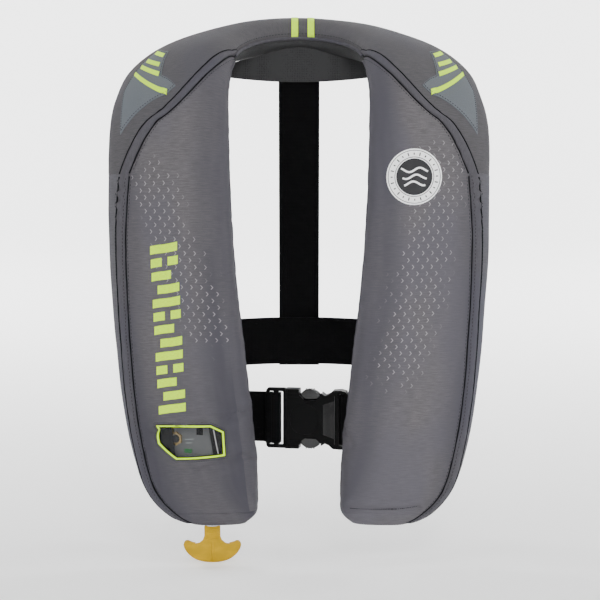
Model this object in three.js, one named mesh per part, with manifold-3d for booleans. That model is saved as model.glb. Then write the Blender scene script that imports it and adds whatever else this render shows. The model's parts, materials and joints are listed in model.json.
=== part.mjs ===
// Inflatable horseshoe life jacket, packed flat and buckled, as an assembly of separate pieces.
// Millimetres. +Z is up, +X is the viewer's right, the wearer's chest faces -Y.
// The origin is the point where the collar rests on the wearer's shoulders.
import * as THREE from 'three';
import { mergeVertices } from 'three/addons/utils/BufferGeometryUtils.js';
import Module from 'manifold-3d';

const wasm = await Module();
wasm.setup();

// ---------------------------------------------------------------- driving dimensions
const FABRIC = 2.2;            // padded cover panel thickness
const SEAM_TURN = 1.2;         // gap between panels around the section, in degrees
const WEBBING_WIDTH = 50.8;    // two inch belt webbing
const WEBBING = 1.6;           // webbing thickness
const STRAP_WIDTH = 43;        // back strap webbing width
const BELT_Z = -318;           // belt centre height at the chest
const BACK_BELT_Z = -270;      // belt centre height at the back
const BUCKLE_Y = -88;          // buckle centre line at the middle of the chest
const BUCKLE_YAW = 10;         // the buckle line leans back towards the left lobe, degrees
const HANDLE_TOP_Z = -423.2;   // top of the jerk handle stem
const BACK_RATIO = 0.8;        // back half of the lobe section against its front half
const SECTION_POWER = 2.6;     // superellipse power of the lobe section
const HALF_STATIONS = 15;      // stations from lobe bottom to nape
const STEP = 1 / 60;           // spacing of the shared lattice along the horseshoe

// Each station of the right half: inner rail, outer rail, front half thickness.
const STATIONS = [
  [[52, -108, -419], [106, -98, -422], 11],
  [[43, -112, -409], [128, -93, -415], 15],
  [[42, -115, -394], [145, -85, -401], 20],
  [[42.5, -119, -372], [157, -77, -381], 22],
  [[45, -121, -340], [167, -69, -345], 23],
  [[51, -124, -284], [175.5, -64, -298], 22.5],
  [[56, -124, -238], [181, -61, -245], 21.5],
  [[62, -121, -186], [185.5, -58, -190], 20.5],
  [[66.5, -114, -130], [188, -54, -134], 20],
  [[69.5, -99, -74], [189, -43, -82], 20],
  [[71, -72, -24], [189, -22, -34], 20],
  [[71.5, -36, 14], [184, 4, -8], 20],
  [[66, 4, 40], [173, 44, 14], 20],
  [[53, 40, 51], [143, 95, 32], 20.5],
  [[30, 63, 57], [81, 145, 47], 21],
  [[0, 73, 59], [0, 170, 53], 21],
];

// Turn of the closure seam around the section at each station, degrees from the outer edge.
const SEAM = [50, 48, 48, 48, 50, 52, 54, 56, 58, 64, 91, 132, 182, 184, 184, 184];

// ---------------------------------------------------------------- colours
const COLOURS = {
  fabric: 0x6c6b71,
  collar: 0x5c5b60,
  gusset: 0x74737b,
  lining: 0x353535,
  webbing: 0x0c0c0e,
  buckle: 0x141416,
  yellow: 0xe0a818,
  bladder: 0xf0c020,
  bright: 0xd6ee3c,
  reflective: 0x9a9ca0,
  white: 0xe8e8e8,
  clear: 0x6d7478,
  grey: 0x9a9c9c,
  green: 0x2e9a48,
  steel: 0xb8bcc0,
  brass: 0xb59a5a,
  black: 0x1b1b1d,
  orange: 0xd8641c,
};

// ---------------------------------------------------------------- solids and booleans
function solid(geometry) {
  const bare = geometry.clone();
  bare.deleteAttribute('normal');
  bare.deleteAttribute('uv');
  const merged = mergeVertices(bare, 1e-4);
  return new wasm.Manifold(new wasm.Mesh({
    numProp: 3,
    vertProperties: new Float32Array(merged.attributes.position.array),
    triVerts: new Uint32Array(merged.index.array),
  }));
}

function geometryOf(body) {
  const mesh = body.getMesh();
  const geometry = new THREE.BufferGeometry();
  geometry.setAttribute('position', new THREE.BufferAttribute(new Float32Array(mesh.vertProperties), 3));
  geometry.setIndex(new THREE.BufferAttribute(new Uint32Array(mesh.triVerts), 1));
  geometry.computeVertexNormals();
  return geometry;
}

function join(first, ...others) {
  return others.reduce((whole, piece) => whole.add(piece), first);
}

function cut(first, ...others) {
  return others.reduce((whole, piece) => whole.subtract(piece), first);
}

// ---------------------------------------------------------------- the horseshoe surface
function fullRail(pick) {
  const right = STATIONS.map(pick);
  const left = right.map(([x, y, z]) => [-x, y, z]);
  const points = [...left, ...right.slice(0, -1).reverse()];
  return new THREE.CatmullRomCurve3(points.map((p) => new THREE.Vector3(...p)), false, 'catmullrom', 0.5);
}

const innerRail = fullRail(([inner]) => inner);
const outerRail = fullRail(([, outer]) => outer);
const depthRail = fullRail(([, , depth]) => [0, depth, 0]);

// Section frame at t: 0 is the left lobe bottom, 0.5 the nape, 1 the right lobe bottom.
function sectionFrame(t) {
  const inner = innerRail.getPoint(t);
  const outer = outerRail.getPoint(t);
  const ahead = Math.min(1, t + 1e-3);
  const behind = Math.max(0, t - 1e-3);
  const along = innerRail.getPoint(ahead).add(outerRail.getPoint(ahead));
  along.sub(innerRail.getPoint(behind)).sub(outerRail.getPoint(behind)).normalize();
  const across = outer.clone().sub(inner);
  const halfWidth = across.length() / 2;
  across.normalize();
  const front = along.clone().cross(across).normalize();
  const centre = inner.add(outer).multiplyScalar(0.5);
  return { centre, across, front, halfWidth, depth: depthRail.getPoint(t).y };
}

function powered(value, power) {
  return Math.sign(value) * Math.abs(value) ** power;
}

// Point on the cover: turn 0 is the outer edge, 90 the front, 180 the inner edge, 270 the back.
function surfacePoint(t, turn, inset) {
  const { centre, across, front, halfWidth, depth } = sectionFrame(t);
  const angle = THREE.MathUtils.degToRad(turn);
  const side = powered(Math.cos(angle), 2 / SECTION_POWER);
  const rise = powered(Math.sin(angle), 2 / SECTION_POWER);
  const reach = rise >= 0 ? depth : depth * BACK_RATIO;
  return centre
    .addScaledVector(across, (halfWidth - inset) * side)
    .addScaledVector(front, (reach - inset) * rise);
}

// Station number (0 at the lobe bottom, 15 at the nape) to t on the chosen side.
function at(station, side) {
  const t = station / (2 * HALF_STATIONS);
  return side < 0 ? t : 1 - t;
}

function stationOf(t) {
  return Math.min(t, 1 - t) * 2 * HALF_STATIONS;
}

function seamTurn(t) {
  const station = stationOf(t);
  const low = Math.min(Math.floor(station), HALF_STATIONS - 1);
  return THREE.MathUtils.lerp(SEAM[low], SEAM[low + 1], station - low);
}

function latticeBetween(from, to) {
  const [low, high] = from < to ? [from, to] : [to, from];
  const rows = [low];
  for (let k = Math.ceil(low / STEP + 0.2); k * STEP < high - 0.2 * STEP; k += 1) {
    rows.push(k * STEP);
  }
  rows.push(high);
  return rows;
}

// ---------------------------------------------------------------- sheets and lofts
function signedVolume(vertices, faces) {
  let total = 0;
  for (const [a, b, c] of faces) {
    total += vertices[a].dot(vertices[b].clone().cross(vertices[c]));
  }
  return total / 6;
}

function closedBody(vertices, faces) {
  const outward = signedVolume(vertices, faces) < 0 ? faces.map(([a, b, c]) => [a, c, b]) : faces;
  const geometry = new THREE.BufferGeometry();
  const flat = vertices.flatMap((v) => [v.x, v.y, v.z]);
  geometry.setAttribute('position', new THREE.Float32BufferAttribute(flat, 3));
  geometry.setIndex(outward.flat());
  return solid(geometry);
}

// A solid sheet between two grids of points of the same size.
function sheet(outerGrid, innerGrid) {
  const rows = outerGrid.length;
  const columns = outerGrid[0].length;
  const vertices = [...outerGrid.flat(), ...innerGrid.flat()];
  const under = rows * columns;
  const faces = [];
  const quad = (a, b, c, d) => faces.push([a, b, c], [a, c, d]);
  for (let i = 0; i < rows - 1; i += 1) {
    for (let j = 0; j < columns - 1; j += 1) {
      const p = i * columns + j;
      quad(p, p + 1, p + columns + 1, p + columns);
      quad(under + p, under + p + columns, under + p + columns + 1, under + p + 1);
    }
  }
  const wall = (a, b) => quad(b, a, under + a, under + b);
  for (let j = 0; j < columns - 1; j += 1) {
    wall(j, j + 1);
    wall((rows - 1) * columns + j + 1, (rows - 1) * columns + j);
  }
  for (let i = 0; i < rows - 1; i += 1) {
    wall((i + 1) * columns, i * columns);
    wall(i * columns + columns - 1, (i + 1) * columns + columns - 1);
  }
  return closedBody(vertices, faces);
}

// Panel of the horseshoe surface between two stations, two turns and two insets.
function panel({ from, to, turnFrom, turnTo, columns, outer, inner }) {
  const rows = latticeBetween(from, to);
  const grid = (inset) => rows.map((t) => {
    const start = typeof turnFrom === 'function' ? turnFrom(t) : turnFrom;
    const end = typeof turnTo === 'function' ? turnTo(t) : turnTo;
    return Array.from({ length: columns + 1 }, (_, j) => (
      surfacePoint(t, THREE.MathUtils.lerp(start, end, j / columns), inset)
    ));
  });
  return sheet(grid(outer), grid(inner));
}

// A closed loft through rings of equal length, with flat fans at both ends.
function loft(rings) {
  const count = rings[0].length;
  const vertices = rings.flat();
  const faces = [];
  for (let i = 0; i < rings.length - 1; i += 1) {
    for (let j = 0; j < count; j += 1) {
      const a = i * count + j;
      const b = i * count + ((j + 1) % count);
      faces.push([a, b, b + count], [a, b + count, a + count]);
    }
  }
  const ends = [[rings[0], 0, true], [rings.at(-1), (rings.length - 1) * count, false]];
  for (const [ring, offset, first] of ends) {
    const middle = ring.reduce((sum, p) => sum.add(p), new THREE.Vector3()).divideScalar(count);
    const hub = vertices.push(middle) - 1;
    for (let j = 0; j < count; j += 1) {
      const a = offset + j;
      const b = offset + ((j + 1) % count);
      faces.push(first ? [b, a, hub] : [a, b, hub]);
    }
  }
  return closedBody(vertices, faces);
}

function sectionRing(t, inset, sides) {
  return Array.from({ length: sides }, (_, j) => surfacePoint(t, (360 * j) / sides, inset));
}

// ---------------------------------------------------------------- simple solids
function block(x0, x1, y0, y1, z0, z1) {
  const box = new THREE.BoxGeometry(x1 - x0, y1 - y0, z1 - z0);
  box.translate((x0 + x1) / 2, (y0 + y1) / 2, (z0 + z1) / 2);
  return solid(box);
}

// Round solid from a closed profile of [radius, height] pairs, on an axis through (a, b).
function turned(axis, a, b, profile, sides = 20) {
  const points = profile.map(([radius, height]) => new THREE.Vector2(radius, height));
  const lathe = new THREE.LatheGeometry(points, sides);
  if (axis === 'z') {
    lathe.rotateX(Math.PI / 2);
    lathe.translate(a, b, 0);
  } else if (axis === 'x') {
    lathe.rotateZ(-Math.PI / 2);
    lathe.translate(0, a, b);
  } else {
    lathe.translate(b, 0, a);
  }
  const vertices = [];
  const merged = mergeVertices(stripped(lathe), 1e-4);
  const position = merged.attributes.position;
  for (let i = 0; i < position.count; i += 1) {
    vertices.push(new THREE.Vector3().fromBufferAttribute(position, i));
  }
  const index = merged.index.array;
  const faces = [];
  for (let i = 0; i < index.length; i += 3) {
    const [p, q, r] = [index[i], index[i + 1], index[i + 2]];
    if (p !== q && q !== r && r !== p) {
      faces.push([p, q, r]);
    }
  }
  return closedBody(vertices, faces);
}

function stripped(geometry) {
  geometry.deleteAttribute('normal');
  geometry.deleteAttribute('uv');
  return geometry;
}

function rod(axis, a, b, radius, from, to, sides = 16) {
  return turned(axis, a, b, [[0, from], [radius, from], [radius, to], [0, to]], sides);
}

function ring(axis, a, b, outerRadius, innerRadius, from, to, sides = 20) {
  const profile = [[innerRadius, from], [outerRadius, from], [outerRadius, to], [innerRadius, to]];
  return turned(axis, a, b, [...profile, profile[0]], sides);
}

// Outline in the x-z plane, extruded along y between two values.
function plateXZ(outline, y0, y1, bevel = 0) {
  const shape = new THREE.Shape(outline.map(([x, z]) => new THREE.Vector2(x, z)));
  const geometry = new THREE.ExtrudeGeometry(shape, {
    depth: y1 - y0 - 2 * bevel,
    bevelEnabled: bevel > 0,
    bevelThickness: bevel,
    bevelSize: bevel,
    bevelOffset: -bevel,
    bevelSegments: 1,
  });
  geometry.rotateX(Math.PI / 2);
  geometry.translate(0, y1 - bevel, 0);
  return solid(geometry);
}

// Round wire along a list of points.
function wire(points, radius, steps, sides) {
  const path = new THREE.CatmullRomCurve3(points);
  const shape = new THREE.Shape();
  for (let j = 0; j < sides; j += 1) {
    const angle = (2 * Math.PI * j) / sides;
    const method = j === 0 ? 'moveTo' : 'lineTo';
    shape[method](radius * Math.cos(angle), radius * Math.sin(angle));
  }
  return solid(new THREE.ExtrudeGeometry(shape, { steps, extrudePath: path, bevelEnabled: false }));
}

function spring(x, y, radius, wireRadius, z0, z1, turns) {
  const stepsPerTurn = 9;
  const points = [];
  for (let k = 0; k <= turns * stepsPerTurn; k += 1) {
    const angle = (2 * Math.PI * k) / stepsPerTurn;
    const height = THREE.MathUtils.lerp(z0, z1, k / (turns * stepsPerTurn));
    points.push(new THREE.Vector3(x + radius * Math.cos(angle), y + radius * Math.sin(angle), height));
  }
  return wire(points, wireRadius, turns * stepsPerTurn, 5);
}

// Upright ribbon along a plan path of [x, y, centre height] points.
function ribbon(points, width, thickness, steps) {
  const knots = points.map((p) => new THREE.Vector3(...p));
  const path = new THREE.CatmullRomCurve3(knots, false, 'catmullrom', 0.5);
  const side = (sign) => Array.from({ length: steps + 1 }, (_, i) => {
    const u = i / steps;
    const spot = path.getPoint(u);
    const run = path.getTangent(u);
    const across = new THREE.Vector3(-run.y, run.x, 0).normalize();
    const point = spot.addScaledVector(across, (sign * thickness) / 2);
    return [-width / 2, width / 2].map((dz) => point.clone().add(new THREE.Vector3(0, 0, dz)));
  });
  return sheet(side(1), side(-1));
}

// ---------------------------------------------------------------- local frames
// Columns are the local x, y and z directions in the shared frame.
function localFrame(origin, xDirection) {
  const x = new THREE.Vector3(...xDirection, 0).normalize();
  const z = new THREE.Vector3(0, 0, 1);
  const y = z.clone().cross(x);
  return new THREE.Matrix4().makeBasis(x, y, z).setPosition(...origin);
}

function place(body, frame) {
  return body.transform(frame.elements);
}

function direction(degrees) {
  const angle = THREE.MathUtils.degToRad(degrees);
  return [-Math.cos(angle), Math.sin(angle)];
}

// Inflator frame: x towards the lobe's outer edge, y to the front, z up.
const INFLATOR = localFrame([-106, -95, -336], direction(23.5));
// Oral tube frame in the other lobe: x towards the inner edge, y to the front, z up.
const ORAL = localFrame([113, -94, -291], direction(-25.7));
// Buckle frame: x along the belt towards the left lobe, y to the front, z up.
const BUCKLE = localFrame([0, BUCKLE_Y, BELT_Z], direction(BUCKLE_YAW));

// ---------------------------------------------------------------- the group
const life_jacket = new THREE.Group();
life_jacket.name = 'life_jacket';

function add(name, body, colour, roughness = 0.9, metalness = 0) {
  const material = new THREE.MeshStandardMaterial({ color: COLOURS[colour], roughness, metalness });
  const mesh = new THREE.Mesh(geometryOf(body), material);
  mesh.name = name;
  life_jacket.add(mesh);
}

const sides = [['left', -1], ['right', 1]];

// ---------------------------------------------------------------- peel line of the cover flaps
// The flap turns on a straight line that leans from the inner edge up to the outer edge.
const PEEL_LOW = 3.35;     // station where the line leaves the inner edge
const PEEL_HIGH = 8.25;    // station where it reaches the outer edge
const PEEL_LIFT = 8.5;     // height of the line in front of the section
const PEEL_GAP = 0.25;     // half of the gap along the line
const FLAP_TURN = 150;     // the flap stops short of the inner edge here

function peelLine(side) {
  const low = sectionFrame(at(PEEL_LOW, side));
  const high = sectionFrame(at(PEEL_HIGH, side));
  const start = low.centre.clone()
    .addScaledVector(low.across, -low.halfWidth)
    .addScaledVector(low.front, low.depth + PEEL_LIFT);
  const end = high.centre.clone()
    .addScaledVector(high.across, high.halfWidth)
    .addScaledVector(high.front, high.depth + PEEL_LIFT);
  const middle = sectionFrame(at((PEEL_LOW + PEEL_HIGH) / 2, side));
  const along = end.clone().sub(start).normalize();
  const toFlap = along.clone().cross(middle.front).normalize();
  if (toFlap.z > 0) {
    toFlap.negate();
  }
  return { start, toFlap };
}

// Keeps the part of a body on the flap's side of the peel line.
function flapSide(body, side, margin) {
  const { start, toFlap } = peelLine(side);
  const normal = [toFlap.x, toFlap.y, toFlap.z];
  return body.trimByPlane(normal, start.dot(toFlap) + margin);
}

// ---------------------------------------------------------------- cover panels
const LOBE_START = 1.25;    // station where the panels meet the bottom cup
const GUSSET_BACK = -40;    // turn where the gusset meets the back panel
const PIPING = 196;         // turn of the inner edge seam
const COLLAR_START = 9;     // station where the collar cover begins
const FRONT_END = 12;       // station where the front panel runs out

function frontPanel(side, { grow = 0, outer = 0, inner = FABRIC } = {}) {
  return panel({
    from: at(LOBE_START - grow, side),
    to: at(FRONT_END, side),
    turnFrom: (t) => seamTurn(t) + SEAM_TURN - grow * 4,
    turnTo: PIPING,
    columns: 10,
    outer,
    inner,
  });
}

function flapPanel(side, { outer, inner, turnFrom, turnTo, columns, from = LOBE_START }) {
  return panel({ from: at(from, side), to: at(9.5, side), turnFrom, turnTo, columns, outer, inner });
}

function windowPrism(outset) {
  const corners = [[-139, -323], [-87, -319], [-75, -324.5], [-74, -347], [-120, -354], [-138, -340]];
  const grown = corners.map(([x, z]) => {
    const reach = Math.hypot(x + 106, z + 336);
    return [x + ((x + 106) / reach) * outset, z + ((z + 336) / reach) * outset];
  });
  return plateXZ(grown, -170, -90);
}

for (const [word, side] of sides) {
  const flapZone = flapSide(flapPanel(side, {
    outer: -4,
    inner: FABRIC + 3,
    turnFrom: (t) => seamTurn(t) - 6,
    turnTo: FLAP_TURN + SEAM_TURN,
    columns: 10,
    from: LOBE_START - 0.6,
  }), side, -PEEL_GAP);
  add(`front_cover_${word}`, cut(frontPanel(side), flapZone), 'fabric');

  let flap = flapSide(flapPanel(side, {
    outer: 0,
    inner: FABRIC,
    turnFrom: (t) => seamTurn(t) + 2.5 * SEAM_TURN,
    turnTo: FLAP_TURN,
    columns: 10,
  }), side, PEEL_GAP);
  if (side < 0) {
    flap = cut(flap, windowPrism(0));
  }
  add(`cover_flap_${word}`, flap, 'fabric');

  add(`side_gusset_${word}`, panel({
    from: at(LOBE_START, side),
    to: at(COLLAR_START - 0.1, side),
    turnFrom: GUSSET_BACK,
    turnTo: seamTurn,
    columns: 8,
    outer: 0,
    inner: FABRIC,
  }), 'gusset');

  add(`back_panel_${word}`, panel({
    from: at(LOBE_START, side),
    to: at(11, side),
    turnFrom: PIPING + 2 * SEAM_TURN,
    turnTo: 360 + GUSSET_BACK - SEAM_TURN,
    columns: 7,
    outer: 0,
    inner: FABRIC,
  }), 'lining');

  // Hook strip on the fixed side and loop strip under the flap, along the closure.
  add(`hook_strip_${word}`, panel({
    from: at(2.2, side),
    to: at(7.4, side),
    turnFrom: (t) => seamTurn(t) - 20,
    turnTo: (t) => seamTurn(t) + 18,
    columns: 4,
    outer: 5,
    inner: 6,
  }), 'black');
  add(`loop_strip_${word}`, flapSide(panel({
    from: at(2.2, side),
    to: at(7.4, side),
    turnFrom: (t) => seamTurn(t) + 3,
    turnTo: (t) => seamTurn(t) + 18,
    columns: 3,
    outer: 3,
    inner: 4,
  }), side, 3), 'black');
}

// Bottom cups close the ends of the lobes.
for (const [word, side] of sides) {
  const outside = loft([0, 0.4, 0.8, 1.15].map((k) => sectionRing(at(k, side), 0, 24)));
  const inside = loft([0.16, 0.5, 0.8, 1.3].map((k) => sectionRing(at(k, side), FABRIC, 24)));
  let cup = cut(outside, inside);
  if (side < 0) {
    cup = cut(cup, place(rod('z', -22.8, 3, 4, -100, -70), INFLATOR));
  }
  add(`bottom_cup_${word}`, cup, 'gusset');
}

const collarEnd = 1 - at(COLLAR_START, -1);
add('collar_cover', panel({
  from: at(COLLAR_START, -1),
  to: collarEnd,
  turnFrom: GUSSET_BACK,
  turnTo: (t) => Math.min(seamTurn(t) - 0.8, 184),
  columns: 11,
  outer: 0,
  inner: FABRIC,
}), 'collar');

add('collar_lining', panel({
  from: at(11.1, -1),
  to: at(11.1, 1),
  turnFrom: (t) => (stationOf(t) < 12.1 ? PIPING + 2 * SEAM_TURN : 186),
  turnTo: 360 + GUSSET_BACK - SEAM_TURN,
  columns: 8,
  outer: 0,
  inner: FABRIC,
}), 'lining');

// Reflective patches over the shoulders, sewn on the collar cover.
for (const [word, side] of sides) {
  add(`reflective_patch_${word}`, panel({
    from: at(9.75, side),
    to: at(12.2, side),
    turnFrom: 46,
    turnTo: (t) => Math.min(87, seamTurn(t) - 6),
    columns: 5,
    outer: -1,
    inner: -0.4,
  }), 'reflective', 0.6);
}

// ---------------------------------------------------------------- badge and window
const badgeFrame = sectionFrame(at(8.9, 1));
const badgeCentre = surfacePoint(at(8.9, 1), 108, 0);
const UP = new THREE.Vector3(0, 0, 1);
const badgeAxis = new THREE.Matrix4().lookAt(badgeFrame.front, new THREE.Vector3(), UP);
badgeAxis.setPosition(badgeCentre);
const badgeSheet = panel({
  from: at(7.4, 1),
  to: at(10.3, 1),
  turnFrom: 60,
  turnTo: 160,
  columns: 9,
  outer: -1.2,
  inner: -0.4,
});
add('badge', badgeSheet.intersect(place(rod('z', 0, 0, 27.5, -15, 15, 28), badgeAxis)), 'white', 0.6);

const windowSheet = (outer, inner) => flapPanel(-1, {
  outer,
  inner,
  turnFrom: 62,
  turnTo: 140,
  columns: 8,
  from: 2.5,
});
const windowBlank = windowSheet(-1.3, -0.4).intersect(windowPrism(2.4));
add('window_frame', cut(windowBlank, windowPrism(-1.8)), 'bright', 0.6);
add('window_lens', windowSheet(0.1, 1.3).intersect(windowPrism(-0.6)), 'clear', 0.2);

// ---------------------------------------------------------------- bladder
// The folded bladder fills the back of the lobes and the whole of the collar.
function bladderRing(t) {
  const { centre, across, front, halfWidth, depth } = sectionFrame(t);
  const fullness = THREE.MathUtils.smoothstep(stationOf(t), 8.3, 9.3);
  const packedFront = t < 0.5 ? -7.8 : -5.6;
  const top = THREE.MathUtils.lerp(packedFront, depth - 6, fullness);
  const bottom = depth * BACK_RATIO - 3.6;
  const power = 2 / SECTION_POWER;
  const lift = Math.asin((Math.max(0, -top) / bottom) ** (1 / power));
  const reach = (halfWidth - 5) * Math.cos(lift) ** power;
  const point = (a, n) => centre.clone().addScaledVector(across, a).addScaledVector(front, n);
  const back = Array.from({ length: 7 }, (_, j) => {
    const angle = Math.PI + lift + ((Math.PI - 2 * lift) * j) / 6;
    return point((halfWidth - 5) * powered(Math.cos(angle), power), bottom * powered(Math.sin(angle), power));
  });
  const face = Array.from({ length: 5 }, (_, j) => {
    const angle = (Math.PI * (j + 1)) / 6;
    const rise = (depth - 5) * powered(Math.sin(angle), power);
    return point(reach * powered(Math.cos(angle), power), top < 0 ? top : Math.min(top, rise));
  });
  return [...back, ...face];
}
add('bladder', loft(latticeBetween(at(2.1, -1), at(2.1, 1)).map(bladderRing)), 'bladder', 0.7);

// ---------------------------------------------------------------- yoke and webbing
const YOKE_Y = 78;
const yokeGrid = (offset) => Array.from({ length: 19 }, (_, i) => {
  const x = -81 + 9 * i;
  const y = YOKE_Y + offset - 0.0006 * x * x;
  const bottom = 11 + 0.0009 * x * x;
  return [bottom, 22, 34, 48].map((z) => new THREE.Vector3(x, y, z));
});
const envelope = loft(latticeBetween(at(9, -1), at(9, 1)).map((t) => sectionRing(t, -0.8, 24)));
add('neck_yoke', cut(sheet(yokeGrid(1), yokeGrid(-1)), envelope), 'lining');

const strapPath = [
  [80.6, 34], [82, 14], [86.5, -20], [96, -70], [108, -130], [119.5, -190], [127.2, -238], [128, -256],
];
const strapGrid = (offset) => {
  const knots = [...strapPath, [128, -296]].map(([y, z]) => new THREE.Vector3(0, y, z));
  const path = new THREE.CatmullRomCurve3(knots);
  return Array.from({ length: 23 }, (_, i) => {
    const spot = path.getPoint(i / 22);
    const run = path.getTangent(i / 22);
    return [-1, 1].map((end) => new THREE.Vector3(
      (end * STRAP_WIDTH) / 2,
      spot.y + offset * -run.z,
      spot.z + offset * run.y,
    ));
  });
};
add('back_strap', sheet(strapGrid(WEBBING / 2), strapGrid(-WEBBING / 2)), 'webbing');

const backHalf = [[153.4, 71.2, -287], [139, 92, -282], [112, 110.5, -276], [75, 122, -272]];
const backPath = [
  ...backHalf.map(([x, y, z]) => [-x, y, z]),
  [-30, 125.6, BACK_BELT_Z],
  [0, 125.8, BACK_BELT_Z],
  [30, 125.6, BACK_BELT_Z],
  ...backHalf.toReversed(),
];
add('back_belt', ribbon(backPath, WEBBING_WIDTH, WEBBING, 36), 'webbing');

add('strap_patch', block(-STRAP_WIDTH / 2, STRAP_WIDTH / 2, 129.3, 131.3, -297, -243), 'webbing');

const sidePath = [
  [130, -60.5, -314], [150, -46, -309], [164, -26, -303], [168.5, 0, -298], [166, 35, -292], [155, 69, -288],
];
const chestPath = [[50.8, -96.9], [63, -92.6], [85, -80.6], [108, -70.4]].map(([x, y]) => [x, y, BELT_Z]);
const rightBelt = ribbon([...chestPath, ...sidePath], WEBBING_WIDTH, 2.4, 34);
add('belt_side_right', join(rightBelt, place(cut(
  block(-51.6, -43.4, -6, 6, -WEBBING_WIDTH / 2, WEBBING_WIDTH / 2),
  block(-49.9, -45.1, -4.4, 4.4, -40, 40),
), BUCKLE)), 'webbing');

const alongBuckle = (s, f) => new THREE.Vector3(s, f, 0).applyMatrix4(BUCKLE);
const fixedLayer = [72, 80, 94, 108].map((s) => {
  const spot = alongBuckle(s, 2);
  return [spot.x, spot.y, BELT_Z];
});
add('belt_side_left', ribbon(
  [...fixedLayer, ...sidePath.map(([x, y, z]) => [-x, y, z])],
  WEBBING_WIDTH,
  WEBBING,
  32,
), 'webbing');

// The front webbing wraps the male frame's bar and slides behind the fixed belt, through the keeper.
const HALF_WEB = WEBBING_WIDTH / 2;
add('belt_front_left', place(join(
  cut(block(18.5, 27.3, -5, 5, -HALF_WEB, HALF_WEB), block(20.1, 25.6, -3.4, 3.4, -40, 40)),
  block(27, 84.5, -5, -3.4, -HALF_WEB, HALF_WEB),
), BUCKLE), 'webbing');

add('belt_keeper', place(cut(
  block(72.5, 83.5, -6.9, 4.4, -29.5, 29.5),
  block(71.5, 84.5, -5.6, 3.4, -26, 26),
), BUCKLE), 'buckle', 0.5);

// Loops on the backs of the lobes carry the belt.
for (const [word, side] of sides) {
  const loopFrame = localFrame([side * 122, -66.6, -316], [side * 0.915, 0.403]);
  const front = side < 0 ? 1 : -1;
  const band = (near, far, low, high) => {
    const [y0, y1] = [front * near, front * far].sort((a, b) => a - b);
    return block(-8, 8, y0, y1, low, high);
  };
  const loop = join(
    band(-9.8, -8.2, -33, 33),
    band(-9.8, 1, 30.6, 33),
    band(-9.8, 1, -33, -30.6),
  );
  add(`belt_loop_${word}`, place(loop, loopFrame), 'webbing');
}

// ---------------------------------------------------------------- buckle
const mirrored = (outline) => [...outline, ...outline.map(([x, z]) => [x, -z]).reverse()];
const femaleOutline = mirrored([
  [-49.5, 25], [-48, 28.4], [-43, 29.8], [-35, 29.2], [-31, 25.6], [-27, 24], [-23.5, 26.5],
  [-20, 28], [-3, 29], [0, 30], [13, 30],
]);
add('buckle_female', place(cut(
  plateXZ(femaleOutline, -6.4, 6.4, 1.4),
  block(-24, 14, -3.2, 3.2, -27, 27),
  block(-23, -1, -8, 8, 19, 32),
  block(-23, -1, -8, 8, -32, -19),
  block(-45.5, -41, -8, 8, -26.4, 26.4),
  block(-50, -45.4, 4, 8, -26.4, 26.4),
  block(-50, -45.4, -8, -4, -26.4, 26.4),
), BUCKLE), 'buckle', 0.35);

const maleFrame = plateXZ(
  [[13.5, 30.4], [31, 30.4], [33, 28], [33, -28], [31, -30.4], [13.5, -30.4]],
  -3,
  3,
  0.8,
);
add('buckle_male', place(join(
  cut(maleFrame, block(15.8, 20.5, -8, 8, -27, 27), block(25.2, 29.8, -8, 8, -27, 27)),
  block(6.8, 14.4, -2.7, 2.7, -24.6, 24.6),
  block(-20, 7, -2.3, 2.3, -4, 4),
), BUCKLE), 'buckle', 0.35);

const prongOutline = [
  [6.4, 18.6], [6.4, 22.4], [0, 23], [-2, 25], [-4.5, 28], [-9, 30], [-14, 30], [-19, 28],
  [-22, 25], [-22.2, 20.6], [-18, 19.6], [-8, 19],
];
for (const [word, sign] of [['upper', 1], ['lower', -1]]) {
  const outline = prongOutline.map(([x, z]) => [x, sign * z]);
  const prong = plateXZ(sign > 0 ? outline : outline.toReversed(), -2.7, 2.7);
  add(`prong_${word}`, place(prong, BUCKLE), 'buckle', 0.35);
}

// ---------------------------------------------------------------- jerk handle and lanyard
const LANYARD = new THREE.Vector3(-22.8, 3, 0).applyMatrix4(INFLATOR);
const handleOutline = mirroredAcross([
  [8, 0], [8, -10.5], [9.6, -14.5], [13, -17.4], [17.5, -18.2], [22, -17], [25.5, -15.6], [28, -16.6],
  [28.8, -19.4], [27.6, -23.4], [24, -28.4], [18, -33], [10, -35.9], [0, -36.8],
]);

function mirroredAcross(outline) {
  return [...outline, ...outline.slice(0, -1).map(([x, z]) => [-x, z]).reverse()];
}

const handleFrame = new THREE.Matrix4().makeTranslation(LANYARD.x, LANYARD.y, HANDLE_TOP_Z);
add('pull_tab', place(cut(
  plateXZ(handleOutline, -2.6, 2.6, 0.7),
  rod('z', 0, 0, 1.9, -9, 1, 12),
), handleFrame), 'yellow', 0.5);
add('pull_lanyard', rod('z', LANYARD.x, LANYARD.y, 1.5, HANDLE_TOP_Z - 8.5, -327.2, 12), 'white');
add('lanyard_grommet', join(
  ring('z', LANYARD.x, LANYARD.y, 6, 2.3, -422.8, -421.9, 20),
  ring('z', LANYARD.x, LANYARD.y, 3.6, 2.3, -422, -416.4, 20),
), 'steel', 0.4, 0.8);

// ---------------------------------------------------------------- inflator
const PIVOT = [-1.6, -6];
const LEVER_ARM = 30;
const BODY = { x0: -31, x1: 13, y0: -4, y1: 17, z0: -20, z1: 24 };

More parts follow.
